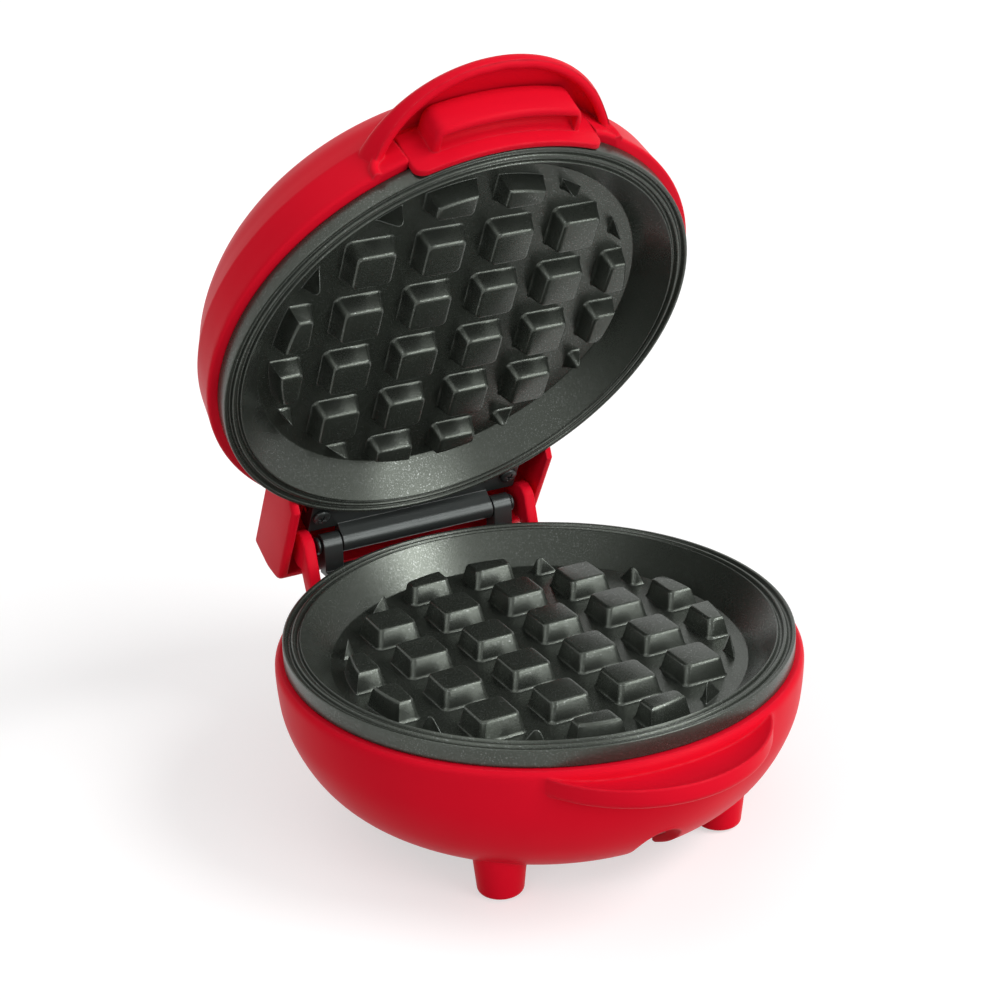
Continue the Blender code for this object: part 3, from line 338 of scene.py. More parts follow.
def tube(line, radius, sides):
    """A round bar along a line."""
    curve = bpy.data.curves.new("tube_line", "CURVE")
    curve.dimensions = "3D"
    curve.bevel_depth = radius
    curve.bevel_resolution = sides
    curve.use_fill_caps = True
    spline = curve.splines.new("POLY")
    spline.points.add(len(line) - 1)
    for spot, point in zip(spline.points, line):
        spot.co = (*point, 1.0)
    thing = bpy.data.objects.new("tube_line", curve)
    scene.collection.objects.link(thing)
    graph = bpy.context.evaluated_depsgraph_get()
    shape = bmesh.new()
    shape.from_mesh(thing.evaluated_get(graph).to_mesh())
    bpy.data.objects.remove(thing, do_unlink=True)
    bpy.data.curves.remove(curve)
    bmesh.ops.remove_doubles(shape, verts=shape.verts, dist=merge_distance)
    bmesh.ops.recalc_face_normals(shape, faces=shape.faces)
    return shape


def flipped(shape):
    """Mirror a lower piece about the parting gap, so that it serves the lid."""
    bmesh.ops.scale(shape, verts=shape.verts, vec=(1.0, 1.0, -1.0))
    bmesh.ops.reverse_faces(shape, faces=shape.faces)
    bmesh.ops.translate(shape, verts=shape.verts, vec=(0.0, 0.0, lid_gap))
    return shape


# Cooking plates

def stud_ring(height, half, corner):
    """The points of a square with round corners, at a height."""
    points = []
    for quarter in range(4):
        middle = (half - corner) * math.sqrt(2)
        turn = math.pi / 4 + quarter * math.pi / 2
        centre = (middle * math.cos(turn), middle * math.sin(turn))
        points += arc(centre, corner, turn - math.pi / 4, turn + math.pi / 4, 5)
    return [(x, y, height) for x, y in points]


def add_stud(shape, x, y):
    """One tapered stud with round corners, a soft top edge and a soft foot."""
    rise = hollow_depth - stud_recess
    taper = (stud_foot - stud_face) / 2 / rise
    levels = [(-hollow_depth + up, stud_foot / 2 + wider, corner) for up, wider, corner in stud_flare]
    levels.append((-hollow_depth + stud_flare_end, stud_foot / 2 - taper * stud_flare_end, stud_flare_corner))
    for step in range(5):
        turn = math.pi / 2 * step / 4
        below, inside = stud_ease * (1 - math.sin(turn)), stud_ease * (1 - math.cos(turn))
        levels.append((-stud_recess - below, stud_face / 2 - inside + taper * below,
                       stud_corner - stud_corner_share * inside))
    rings = [[shape.verts.new((x + px, y + py, pz)) for px, py, pz in stud_ring(*level)] for level in levels]
    for low, high in zip(rings, rings[1:]):
        for step in range(len(low)):
            after = (step + 1) % len(low)
            shape.faces.new((low[step], low[after], high[after], high[step]))
    shape.faces.new(rings[-1])
    shape.faces.new(list(reversed(rings[0])))


def stud_field():
    """The square field of studs, cut by a circle."""
    shape = bmesh.new()
    first = -(stud_count - 1) / 2
    for row in range(stud_count):
        for column in range(stud_count):
            x, y = (first + column) * stud_pitch, (first + row) * stud_pitch
            if math.hypot(abs(x) - stud_foot / 2, abs(y) - stud_foot / 2) < stud_circle_face:
                add_stud(shape, x, y)
    rise = hollow_depth - stud_recess
    slope = (stud_circle_foot - stud_circle_face) / rise
    circle = [(stud_circle_foot + slope * overrun * 2, -hollow_depth - overrun * 2),
              (stud_circle_face + slope * circle_ease, -stud_recess - circle_ease)]
    circle += [(stud_circle_face - inside, -stud_recess + up) for inside, up in circle_edge]
    return combined(shape, turned(circle), "INTERSECT")


def cooking_plate():
    """A cast plate: flange with two sealing grooves, sloped hollow, studs and screw bosses."""
    slope = (flange_inner_radius - floor_radius) / hollow_depth
    back = plate_wall * math.hypot(1.0, slope)
    face = [(floor_radius - floor_rim, -hollow_depth), (floor_radius, -hollow_depth),
            (flange_inner_radius, 0.0)]
    groove_floor = groove_half_width * groove_floor_share
    for radius in groove_radii:
        face += [(radius - groove_half_width, 0.0), (radius - groove_floor, -groove_depth),
                 (radius + groove_floor, -groove_depth), (radius + groove_half_width, 0.0)]
    face += [(plate_radius, 0.0), (plate_radius, -plate_band)]
    profile = eased(face, plate_ease, 4)
    profile += [(plate_radius - skirt_wall, -plate_band), (plate_radius - skirt_wall, -flange_depth),
                (flange_inner_radius - slope * flange_depth + back, -flange_depth),
                (flange_inner_radius - slope * plate_back + back, -plate_back)]
    plate = joined(turned(profile), stud_field())
    posts, post_end = spots(boss_circle, screw_count), -plate_back - boss_height
    plate = joined(plate, uprights(boss_radius, posts, -plate_back + overrun, post_end))
    return cut(plate, uprights(screw_radius + pin_gap, posts, post_end - overrun,
                               post_end + screw_depth + pin_gap))


# Base

def bowl_line():
    """The bowl's outside as (radius, height) points, from its rim down to its foot."""
    return [(bowl_radius * wide, rim_low - bowl_height * deep) for wide, deep in bowl_side_shares]


def bowl_side():
    """The bowl's outside as a smooth line that turns into its flat foot."""
    line = flowing(bowl_line())
    return line[:-1] + eased([line[-2], line[-1], (line[-1][0] - bowl_flat, line[-1][1])], bowl_ease, 4)[1:]


def grip_lip():
    """The round finger lip on the front of the base, dished on top and undercut below."""
    face_foot = -lip_edge - lip_face
    under = [(lip_radius * wide, face_foot - lip_under_depth * deep) for wide, deep in lip_under_shares]
    dish = flowing([(lip_radius - run, -low) for run, low in lip_dish_line], 4)
    edge = eased([dish[-1], (lip_radius - lip_lean, -lip_edge), (lip_radius, face_foot)], lip_edge_ease, 4)
    foot = eased([edge[-2], (lip_radius, face_foot), under[0]], lip_foot_ease, 6)
    return turned(dish[:-1] + edge[:-1] + foot[1:-1] + flowing(under), turn_steps, centre=(0.0, -lip_centre))


def base_ear_outline():
    """An ear that rises from the rear block and ends round about the hinge's axis."""
    lug = arc((hinge_y, hinge_z), ear_radius, ear_first, ear_last, 28)
    root = (lug[-1][0] - ear_radius * ear_back_share, rim_low - ear_radius * ear_root_share)
    return [(block_foot_y - overrun, -block_foot_z), (block_slope_y, -block_slope_z)] + lug + [
        root, (block_foot_y - overrun, -block_slope_z)]


def rear_block():
    """The block behind the bowl that carries the hinge."""
    top = -strap_top - strap_thickness - seat_gap
    outline = ((block_foot_y - overrun, top), (block_rear - overrun, top), (block_rear, top - overrun),
               (block_slope_y, -block_slope_z), (block_foot_y - overrun, -block_foot_z))
    return prism(outline, -ear_out + seat_gap, ear_out - seat_gap)


def notch(grow):
    """The way of the cord out of its recess, at the front; grown by a wall it is its cover."""
    outline = arc((0.0, -notch_top - notch_radius), notch_radius + grow, 0.0, math.pi, 24)
    outline += [(-notch_radius - grow, -bowl_foot_height - overrun),
                (notch_radius + grow, -bowl_foot_height - overrun)]
    return prism(outline, -bowl_radius - overrun, -notch_inner + grow, along="y")


def radius_on(line, height):
    """The radius of a falling line of (radius, height) points at a height."""
    for (wide, high), (narrow, low) in zip(line, line[1:]):
        if low <= height <= high:
            return wide + (narrow - wide) * (high - height) / (high - low)
    return line[-1][0]


def bowl_hollow():
    """The space inside the lower housing, from above its rim down to the floor and hub."""
    wall = offset_inward(bowl_line(), housing_wall)
    side = [point for point in wall[2:] if point[1] > -bowl_floor]
    hub_hollow = hub_radius - housing_wall
    return turned([(seat_radius, rim_low + overrun), (seat_radius, rim_low - seat_thickness)] + side +
                  [(radius_on(wall, -bowl_floor), -bowl_floor), (hub_hollow, -bowl_floor),
                   (hub_hollow, -bowl_foot_height + hub_floor)])


def wrap_recess():
    """The ring-shaped recess under the base, whose outer wall follows the bowl."""
    wall = offset_inward(bowl_line(), housing_wall)
    foot = wall[-1][0]
    side = [point for point in reversed(wall[:-1]) if point[1] < -wrap_ceiling]
    return turned([(hub_radius, -bowl_foot_height - overrun), (foot, -bowl_foot_height - overrun),
                   (foot, -bowl_foot_height + overrun)] + side +
                  [(radius_on(wall, -wrap_ceiling), -wrap_ceiling), (hub_radius, -wrap_ceiling)], ring=True)


def moulded_foot(x, y):
    """A tapered foot with a soft edge, from inside the bowl's floor down to its pad."""
    root = -(bowl_floor + wrap_ceiling) / 2
    end = -table_drop + pad_proud
    profile = [(foot_top_radius, root), (foot_end_radius, end), (foot_flat, end)]
    return turned(eased(profile, foot_ease, 6), 64, centre=(x, y))


def lower_housing():
    """The bowl of the base with its lip, ears, feet, cord recess and cord outlet."""
    shell = joined(turned(bowl_side()), grip_lip(), rear_block())
    ears = [softened(prism(base_ear_outline(), side * ear_in, side * ear_out), ear_ease, 3, wall_sharp)
            for side in (-1.0, 1.0)]
    outlet = rod(gland_boss_radius, (0.0, block_foot_y, gland_height), (0.0, gland_rear, gland_height),
                 ease=gland_ease)
    shell = cut(joined(shell, gathered(*ears), outlet), bowl_hollow())
    cover = combined(notch(housing_wall), turned(bowl_side()), "INTERSECT")
    shell = cut(joined(shell, cover), wrap_recess())
    plate_room = turned(((seat_radius - overrun, rim_low - seat_fall),
                         (plate_radius + seat_gap, rim_low + seat_fall), (plate_radius + seat_gap, overrun)))
    bore = rod(bush_radius + seat_gap, (0.0, block_foot_y - overrun, gland_height),
               (0.0, gland_rear + overrun, gland_height))
    shell = cut(shell, plate_room, notch(0.0), bore)
    corners = [(x, y) for x in (-foot_x, foot_x) for y in (-foot_y, foot_y)]
    shell = joined(shell, gathered(*[moulded_foot(x, y) for x, y in corners]))
    shell = cut(shell, uprights(pad_radius + seat_gap, corners, -table_drop - overrun,
                                -table_drop + pad_proud + pad_sunk + seat_gap))
    posts = spots(boss_circle, screw_count)
    shell = joined(shell, uprights(boss_radius, posts, -bowl_foot_height + hub_floor / 2,
                                   -pan_back - seat_gap))
    shell = cut(shell, uprights(screw_radius + pin_gap, posts, -bowl_foot_height - overrun,
                                -pan_back + overrun))
    shell = cut(shell, uprights(plate_head_radius + seat_gap, posts, -bowl_foot_height - overrun,
                                -bowl_foot_height + plate_head + seat_gap))
    return cut(shell, uprights(screw_radius + pin_gap, lower_screws, -strap_top - strap_thickness + overrun,
                               -strap_top - hinge_screw_length))


# Lid

def dome_line():
    """The dome's outside as (radius, height) points, from its rim up to its crown."""
    return [(dome_radius * wide, rim_high + dome_height * high) for wide, high in dome_side_shares]


def dome_side():
    """The dome's side, with its soft crease a third of the way up."""
    line = dome_line()
    lower = flowing(line[:4], 5)
    upper = flowing(line[3:], 6)
    crease = eased([lower[-2], line[3], upper[1]], dome_crease_ease, 4)
    return lower[:-2] + crease + upper[2:]


def dome_level(radius):
    """How high the outside of the dome stands at a distance from its axis."""
    line = dome_line()
    for (wide, low), (narrow, high) in zip(line, line[1:]):
        if narrow <= radius <= wide:
            return low + (high - low) * (wide - radius) / (wide - narrow)
    return line[-1][1]


def lens_seat():
    """Where the lens flange bears on the lid, at the flange's lower side."""
    return dome_level(lens_flange_radius - lens_y) - housing_wall - seat_gap


def lens_top():
    """How high the lens stands over the dome."""
    return lens_seat() + seat_gap + housing_wall + lens_proud


def dome_hollow():
    """The space inside the dome."""
    inner = offset_inward(dome_line(), housing_wall)[2:]
    return turned([(seat_radius, rim_high - overrun), (seat_radius, rim_high + seat_thickness)] + inner)


def hood_line(low, brow, top, wall):
    """The hood's section as (radius, height) points about its own axis, less a wall's thickness."""
    side = [(hood_brow * wide - wall, low + (brow - low) * high) for wide, high in hood_side_shares]
    return side + [(hood_brow * wide - wall, brow + (top - brow) * high) for wide, high in hood_top_shares]


def hood_radius_at(height):
    """The radius of the hood's outside at a height."""
    line = hood_line(rim_high, hood_brow_height, hood_top_height, 0.0)
    for (low_r, low_z), (high_r, high_z) in zip(line, line[1:]):
        if height <= high_z:
            return low_r + (high_r - low_r) * (height - low_z) / (high_z - low_z)
    return line[-1][0]


def hood_arch():
    """Points (x, z) of the hood's mouth, evenly spaced along its full-shouldered arch."""
    points = []
    for step in range(arch_steps + 1):
        turn = math.pi * step / arch_steps
        across = math.copysign(abs(math.cos(turn)) ** (2 / arch_power), math.cos(turn))
        points.append((across * arch_half_width,
                       rim_high + (arch_height - rim_high) * abs(math.sin(turn)) ** (2 / arch_power)))
    return points


def hood_space():
    """The hand's room under the hood, from its mouth back to the dome's side."""
    room = turned(flowing(hood_line(rim_high - overrun, hood_brow_height - hood_wall,
                                    hood_top_height - hood_wall, hood_wall), 4), centre=(0.0, -grip_centre))
    arch = hood_arch() + [(side * arch_half_width, rim_high - overrun * 2) for side in (-1.0, 1.0)]
    mouth = prism(arch, -grip_centre - hood_brow * mouth_reach_share, -grip_centre, along="y")
    above = [(-reach, height) for reach, height in hood_ceiling]
    above += [(y, hood_top_height + overrun) for y, _ in reversed(above)]
    room = cut(room, prism(above, -hood_brow - overrun, hood_brow + overrun))
    return cut(joined(room, mouth), turned(dome_side()))


def hood_rim():
    """The round edge of the hood's mouth, whose ends run down the dome to its rim."""
    line = []
    for x, z in [(arch_half_width, rim_high)] + hood_arch()[1:-1] + [(-arch_half_width, rim_high)]:
        z = rim_high + (z - rim_high) * rim_rise
        radius = hood_radius_at(z) - rim_bead
        y = grip_centre + math.sqrt(max(radius ** 2 - x ** 2, 0.0))
        line.append((x, -max(y, math.sqrt((dome_radius - rim_bead * rim_sunk_share) ** 2 - x ** 2)), z))
    line = [(*line[0][:2], rim_high - rim_bead)] + line + [(*line[-1][:2], rim_high - rim_bead)]
    below = block((-dome_radius, -dome_radius - overrun * 9, 0.0), (dome_radius, 0.0, rim_high + rim_cut))
    return cut(tube(line, rim_bead, 5), below)


def tail_outline(wall):
    """The tail's section less a wall's thickness: 0 for its outside, more for the space in it."""
    chin_y = tail_chin_y - wall * tail_chin_share
    if wall:
        foot = [(tail_root, tail_low - overrun * 4), (chin_y, tail_low - overrun * 4), (chin_y, tail_chin_z)]
    else:
        foot = [(tail_front, tail_low), (chin_y, tail_low), tail_heel]
    rear, top = tail_rear - wall, tail_high - wall
    return foot + [(rear, tail_step_z + wall * tail_step_share), (rear, top), (tail_root, top),
                   (tail_root, tail_step_z + housing_wall)]


def tail_wall():
    """The outside of the tail, with soft edges."""
    outline = tail_outline(0.0)
    outline = outline[:1] + eased(outline[:6], tail_line_ease, 6)[1:-1] + outline[5:]
    return softened(prism(outline, -tail_half_width, tail_half_width), tail_side_ease, 4, wall_sharp)


def upper_housing():
    """The domed lid cover with the hood at its front and the hollow tail over the hinge."""
    tail_inside = prism(tail_outline(housing_wall), -tail_half_width + housing_wall,
                        tail_half_width - housing_wall)
    hood = turned(flowing(hood_line(rim_high, hood_brow_height, hood_top_height, 0.0)),
                  centre=(0.0, -grip_centre))
    shell = joined(cut(tail_wall(), tail_inside), turned(dome_side()), hood)
    shell = joined(shell, uprights(hinge_boss_radius, upper_screws, leaf_low + leaf_thickness + seat_gap,
                                   tail_high - hinge_boss_sunk))
    slots = []
    for side in (-1.0, 1.0):
        rim = sorted((side * (leaf_half_width - leaf_rim - seat_gap), side * (leaf_half_width + seat_gap)))
        slots.append(cut(block((rim[0], tail_front, leaf_low), (rim[1], leaf_rear, leaf_rim_top + seat_gap)),
                         rod(plate_radius + swing_gap - seat_gap, (0.0, 0.0, leaf_low - overrun),
                             (0.0, 0.0, leaf_rim_top + overrun), turn_steps)))
    window = block((-insert_half_width - seam, -dome_radius - overrun, rim_high - overrun),
                   (insert_half_width + seam, -seat_radius * window_share, insert_high + seam))
    lens_hole = rod(lens_radius + seam, (0.0, lens_y, lens_seat() - lens_flange),
                    (0.0, lens_y, lens_top() + overrun))
    plate_room = turned(((plate_radius + seat_gap, -lid_gap), (plate_radius + seat_gap, rim_high - seat_fall),
                         (seat_radius - overrun, rim_high + seat_fall)))
    shell = cut(shell, gathered(*slots), hood_space())
    shell = cut(shell, window, dome_hollow(), plate_room, lens_hole)
    shell = cut(shell, uprights(screw_radius + pin_gap, upper_screws, leaf_low,
                                leaf_low + hinge_screw_length + overrun))
    return combined(shell, hood_rim(), "UNION", crossing=True)


def bent_slab(inner, outer, low, high, half_width):
    """A slab bent about the dome's axis, at the front, as wide as two half widths."""
    ring = turned(((inner, low), (outer, low), (outer, high), (inner, high)), turn_steps * 2, ring=True)
    front = block((-half_width, -outer - overrun, low - overrun),
                  (half_width, -inner * core_share, high + overrun))
    return combined(front, ring, "INTERSECT")


def finger_ledge():
    """The ledge on the tab: bent like the dome, with round ends and a pocket in its underside."""
    lean = math.asin(ledge_half_width / ledge_radius)
    face = arc((0.0, 0.0), ledge_radius, -math.pi / 2 - lean, -math.pi / 2 + lean, 24)
    ends = [(side * ledge_half_width, -insert_radius * core_share) for side in (-1.0, 1.0)]
    outline = eased([ends[0], face[0], face[4]], ledge_corner, 6)[:-1] + face[4:-4]
    outline += eased([face[-5], face[-1], ends[1]], ledge_corner, 6)[1:]
    ledge = softened(prism(outline, ledge_low, insert_high, along="z"), ledge_ease, 5, tab_sharp)
    core = insert_radius - insert_wall / 2
    ledge = cut(ledge, turned(((core, ledge_low - overrun), (core, insert_high + overrun)), turn_steps * 2))
    mouth, deep, front = ledge_low - pocket_mouth, ledge_low + pocket_depth, ledge_radius - pocket_rim
    section = [(insert_radius - 0.02 * MM, mouth), (insert_radius + 0.2 * MM, ledge_low + 0.4 * MM)]
    section += [(insert_radius + out, deep - down) for out, down in pocket_back_line]
    section += [(front - back, deep - down) for back, down in pocket_front_line]
    half = ledge_half_width - pocket_rim
    pocket = combined(block((-half, -ledge_radius, mouth - overrun),
                            (half, -insert_radius * core_share, deep + overrun)),
                      turned(flowing(section + [(front, mouth)], 3), turn_steps * 2, ring=True), "INTERSECT")
    return cut(ledge, softened(pocket, pocket_ease, 4, tab_sharp))


def grip_insert():
    """The moulding under the hood: a bent tab, a ledge for the fingers, and a catch inside."""
    back, corner = insert_radius - insert_wall, insert_corner
    side, foot = insert_half_width - corner, insert_low + corner
    tab_shape = [(-insert_half_width, insert_high), (-insert_half_width, foot)]
    tab_shape += arc((-side, foot), corner, math.pi, math.pi * 1.5, 8)[1:]
    tab_shape += arc((side, foot), corner, math.pi * 1.5, math.tau, 8) + [(insert_half_width, insert_high)]
    tab = combined(prism(tab_shape, -insert_radius - overrun, -seat_radius * core_share, along="y"),
                   turned(((back, insert_low - overrun), (insert_radius, insert_low - overrun),
                           (insert_radius, insert_high + overrun), (back, insert_high + overrun)),
                          turn_steps * 2, ring=True), "INTERSECT")
    web = bent_slab(catch_radius - insert_wall, back + insert_wall / 2, insert_high - insert_wall,
                    insert_high, insert_half_width)
    catch = bent_slab(catch_radius - insert_wall, catch_radius, catch_low, insert_high - insert_wall / 2,
                      catch_half_width)
    return joined(softened(tab, insert_ease, 4, tab_sharp), finger_ledge(), web, catch)


# Hinge and screws

def on_hinge(radius, start, end, ease=0.0):
    """A round bar along the hinge's axis."""
    return rod(radius, (start, hinge_y, hinge_z), (end, hinge_y, hinge_z), ease=ease)


def upper_bracket():
    """The lid's half of the hinge: a crescent plate with turned-up ends and the long barrel."""
    top = leaf_low + leaf_thickness
    leaf = block((-leaf_half_width, tail_front, leaf_low), (leaf_half_width, leaf_rear, top))
    for side in (-1.0, 1.0):
        ends = sorted((side * leaf_half_width, side * (leaf_half_width - leaf_rim)))
        leaf = joined(leaf, block((ends[0], tail_front, leaf_low + leaf_thickness / 2),
                                  (ends[1], leaf_rear, leaf_rim_top)))
    web = prism(((leaf_rear - overrun, leaf_low), (hinge_y - barrel_radius, hinge_z), (hinge_y, hinge_z),
                 (hinge_y + barrel_radius / 2, hinge_z + barrel_radius * web_share),
                 (leaf_rear - overrun, top)), -barrel_half, barrel_half)
    clear = plate_radius + swing_gap
    round_room = turned(((clear, lid_gap - overrun), (clear, leaf_rim_top + overrun)))
    leaf = cut(joined(leaf, web, on_hinge(barrel_radius, -barrel_half, barrel_half)), round_room)
    return cut(leaf, uprights(screw_radius + pin_gap, upper_screws, leaf_low - overrun, top + overrun),
               on_hinge(pin_radius + pin_gap, -barrel_half - overrun, barrel_half + overrun))


def lower_bracket():
    """The base's half of the hinge: a strap on the rear block with an end knuckle at each side."""
    low, top = -strap_top - strap_thickness, -strap_top
    strap = block((-knuckle_out, tail_front, low), (knuckle_out, strap_rear, top))
    for side in (-1.0, 1.0):
        ends = sorted((side * knuckle_in, side * knuckle_out))
        cheek = block((ends[0], hinge_y - barrel_radius, top - strap_thickness / 2),
                      (ends[1], hinge_y + barrel_radius * cheek_share, hinge_z))
        strap = joined(strap, joined(cheek, on_hinge(barrel_radius, *ends)))
    clear = bowl_radius + seat_gap * 2
    bowl_room = turned(((clear, low - overrun), (clear, -plate_band)))
    return cut(strap, bowl_room, uprights(screw_radius + pin_gap, lower_screws, low - overrun, top + overrun),
               on_hinge(pin_radius + pin_gap, -knuckle_out - overrun, knuckle_out + overrun))


def hinge_pin():
    """The pin through barrel and knuckles, with a soft head at each end."""
    half = knuckle_out + seat_gap
    heads = [on_hinge(pin_head_radius, side * half, side * (half + pin_head), pin_head_ease)
             for side in (-1.0, 1.0)]
    return joined(on_hinge(pin_radius, -half - pin_head / 2, half + pin_head / 2), *heads)


def screw(x, y, seat, tip, head_radius, head):
    """A pan-head screw with a cross recess; its head bears on the seat and its shank reaches the tip."""
    way = 1.0 if tip > seat else -1.0
    crown = [(head_radius, seat), (head_radius, seat - way * head * head_rim_share)]
    crown += [(head_radius * math.cos(turn),
               seat - way * head * (head_rim_share + (1 - head_rim_share) * math.sin(turn)))
              for turn in [math.pi / 2 * step / 6 for step in range(1, 6)]]
    core, thread = screw_radius - thread_depth, []
    for number in range(int(abs(tip - seat) / thread_pitch)):
        at = seat + way * thread_pitch * number
        thread += [(core, at), (screw_radius, at + way * thread_pitch / 2)]
    shape = turned([(screw_radius * thread_tip_share, tip)] + thread[::-1] + [(core, seat)] + crown, 32)
    deep, out = seat - way * head * recess_depth_share, seat - way * head * recess_mouth_share
    wide, thin = head_radius * recess_wide_share, head_radius * recess_thin_share
    arms = [block((-across, -along, min(deep, out)), (across, along, max(deep, out)))
            for across, along in ((wide, thin), (thin, wide))]
    for arm in arms:
        for vert in arm.verts:
            if abs(vert.co.z - deep) < merge_distance:
                vert.co.x *= recess_taper
                vert.co.y *= recess_taper
    shape = cut(shape, joined(*arms))
    place = Matrix.Translation((x, y, 0.0)) @ Matrix.Rotation(recess_turn, 4, "Z")
    bmesh.ops.transform(shape, verts=shape.verts, matrix=place)
    return shape


def pilot_lens():
    """A clear cap through the top of the lid, open below, with a flange inside the lid."""
    bore = lens_radius - lens_wall
    seat, top = lens_seat(), lens_top()
    cap = [(lens_radius, seat)] + [(lens_radius * math.cos(turn), top - lens_wall * (1 - math.sin(turn)))
                                   for turn in [math.pi / 2 * step / 8 for step in range(8)]]
    flange = [(lens_flange_radius, seat - lens_flange), (lens_flange_radius, seat)]
    return turned([(bore, top - lens_wall * 2), (bore, seat - lens_flange)] + flange + cap, 48,
                  centre=(0.0, lens_y))


# Materials

mottle_scale, noise_span = 38.0, (0.3, 0.7)
bend_span, patch_scale, patch_span = (0.80, 0.99), 320.0, (0.35, 0.65, 0.3, 1.0)
wear_and_highlight_polish, fleck_polish, fleck_edge, coat_rough = 0.08, 0.10, 0.08, 0.25


def tree_of(name):
    made = bpy.data.materials.new(name)
    made.use_nodes = True
    made.node_tree.nodes.clear()
    return made, made.node_tree


def node(tree, kind, inputs=(), **settings):
    """Add a node. An input takes a number, a colour or another node's output."""
    made = tree.nodes.new(kind)
    for key, value in settings.items():
        setattr(made, key, value)
    for key, value in dict(inputs).items():
        if isinstance(value, bpy.types.NodeSocket):
            tree.links.new(value, made.inputs[key])
        else:
            made.inputs[key].default_value = value
    return made


def noise(tree, coords, scale, detail=2.0, rough=0.5):
    return node(tree, "ShaderNodeTexNoise", {"Scale": scale, "Detail": detail, "Roughness": rough,
                                             "Vector": coords}).outputs["Fac"]


def ranged(tree, value, low, high, to_low, to_high):
    return node(tree, "ShaderNodeMapRange", {"From Min": low, "From Max": high, "To Min": to_low,
                                             "To Max": to_high, "Value": value}).outputs["Result"]


def mixed(tree, share, first, second):
    """Mix two colours, by the sockets that a mix node has for colours."""
    first, second = ((*value, 1.0) if isinstance(value, tuple) else value for value in (first, second))
    return node(tree, "ShaderNodeMix", {0: share, 6: first, 7: second}, data_type="RGBA").outputs[2]


def maths(tree, operation, first, second):
    return node(tree, "ShaderNodeMath", {0: first, 1: second}, operation=operation).outputs[0]


def finish(name, colour, rough, metallic=0.0, grain=900.0, grain_height=0.004, mottle=0.05, spread=0.05,
           edge=0.3, wear_and_highlight_colour=None, wear_and_highlight_share=0.3, fleck=None, fleck_scale=2900.0, fleck_from=0.62, coat=0.0,
           specular=0.5, transmission=0.0):
    """A moulded, coated or metal surface: grain, mottling, uneven sheen, soft edges, and an edge colour that
    is wear on most finishes and a painted highlight on the red plastic.
    """
    made, tree = tree_of(name)
    coords = node(tree, "ShaderNodeTexCoord").outputs["Object"]
    fine = noise(tree, coords, grain, 3.0, 0.6)
    broad = noise(tree, coords, mottle_scale)
    dark = tuple(value * (1.0 - mottle) for value in colour)
    light = tuple(min(value * (1.0 + mottle), 1.0) for value in colour)
    tint = mixed(tree, ranged(tree, broad, *noise_span, 0.0, 1.0), dark, light)
    level = ranged(tree, broad, *noise_span, rough + spread, rough - spread)
    level = maths(tree, "ADD", level, ranged(tree, fine, *noise_span, -spread / 2, spread / 2))
    soft = node(tree, "ShaderNodeBevel", {"Radius": edge * MM}, samples=6).outputs[0]
    # Convex edges take the edge colour and get smoother: wear on most finishes, and on the red plastic a
    # painted highlight along its edges.
    if wear_and_highlight_colour:
        normal = node(tree, "ShaderNodeNewGeometry").outputs["Normal"]
        dot = node(tree, "ShaderNodeVectorMath", {0: soft, 1: normal}, operation="DOT_PRODUCT")
        wear_and_highlight_mask = ranged(tree, dot.outputs["Value"], *bend_span, wear_and_highlight_share, 0.0)
        patches = ranged(tree, noise(tree, coords, patch_scale, 3.0), *patch_span)
        wear_and_highlight_mask = maths(tree, "MULTIPLY", wear_and_highlight_mask, patches)
        tint = mixed(tree, wear_and_highlight_mask, tint, wear_and_highlight_colour)
        level = maths(tree, "SUBTRACT", level, maths(tree, "MULTIPLY", wear_and_highlight_mask, wear_and_highlight_polish))
    if fleck:
        spot = noise(tree, coords, fleck_scale, 1.0, 0.4)
        spot = ranged(tree, spot, fleck_from, fleck_from + fleck_edge, 0.0, 1.0)
        tint = mixed(tree, spot, tint, fleck)
        level = maths(tree, "SUBTRACT", level, maths(tree, "MULTIPLY", spot, fleck_polish))
    bump = node(tree, "ShaderNodeBump", {"Strength": 1.0, "Distance": grain_height * MM, "Height": fine,
                                         "Normal": soft})
    shader = node(tree, "ShaderNodeBsdfPrincipled", {
        "Base Color": tint, "Roughness": level, "Normal": bump.outputs[0], "Metallic": metallic,
        "Specular IOR Level": specular, "Coat Weight": coat, "Coat Roughness": coat_rough,
        "Transmission Weight": transmission})
    node(tree, "ShaderNodeOutputMaterial", {"Surface": shader.outputs[0]})
    made.diffuse_color = (*colour, 1.0)
    return made


# The red plastic's pale pink edge colour is a painted highlight along its convex edges, not wear.
red = finish("red_plastic", (0.71, 0.0055, 0.021), 0.36, grain=1900.0, grain_height=0.003, mottle=0.03,
             spread=0.03, edge=1.0, wear_and_highlight_colour=(0.86, 0.065, 0.095), wear_and_highlight_share=0.45, specular=0.028)
coating = finish("nonstick_coating", (0.060, 0.068, 0.057), 0.29, 0.68, grain=2500.0, grain_height=0.020,
                 mottle=0.08, edge=0.35, wear_and_highlight_colour=(0.20, 0.216, 0.206), wear_and_highlight_share=0.45, fleck=(0.16, 0.172, 0.162))
black = finish("black_coated_steel", (0.045, 0.051, 0.049), 0.34, 0.55, grain=2200.0, grain_height=0.014,
               edge=0.35, wear_and_highlight_colour=(0.20, 0.20, 0.20), wear_and_highlight_share=0.45)
bright = finish("bright_steel", (0.52, 0.53, 0.54), 0.30, 1.0, grain=3000.0, edge=0.2,
                wear_and_highlight_colour=(0.75, 0.75, 0.76), wear_and_highlight_share=0.5)
sheath = finish("element_sheath", (0.20, 0.19, 0.19), 0.46, 0.9, grain=1800.0, grain_height=0.012,
                wear_and_highlight_colour=(0.30, 0.24, 0.20))
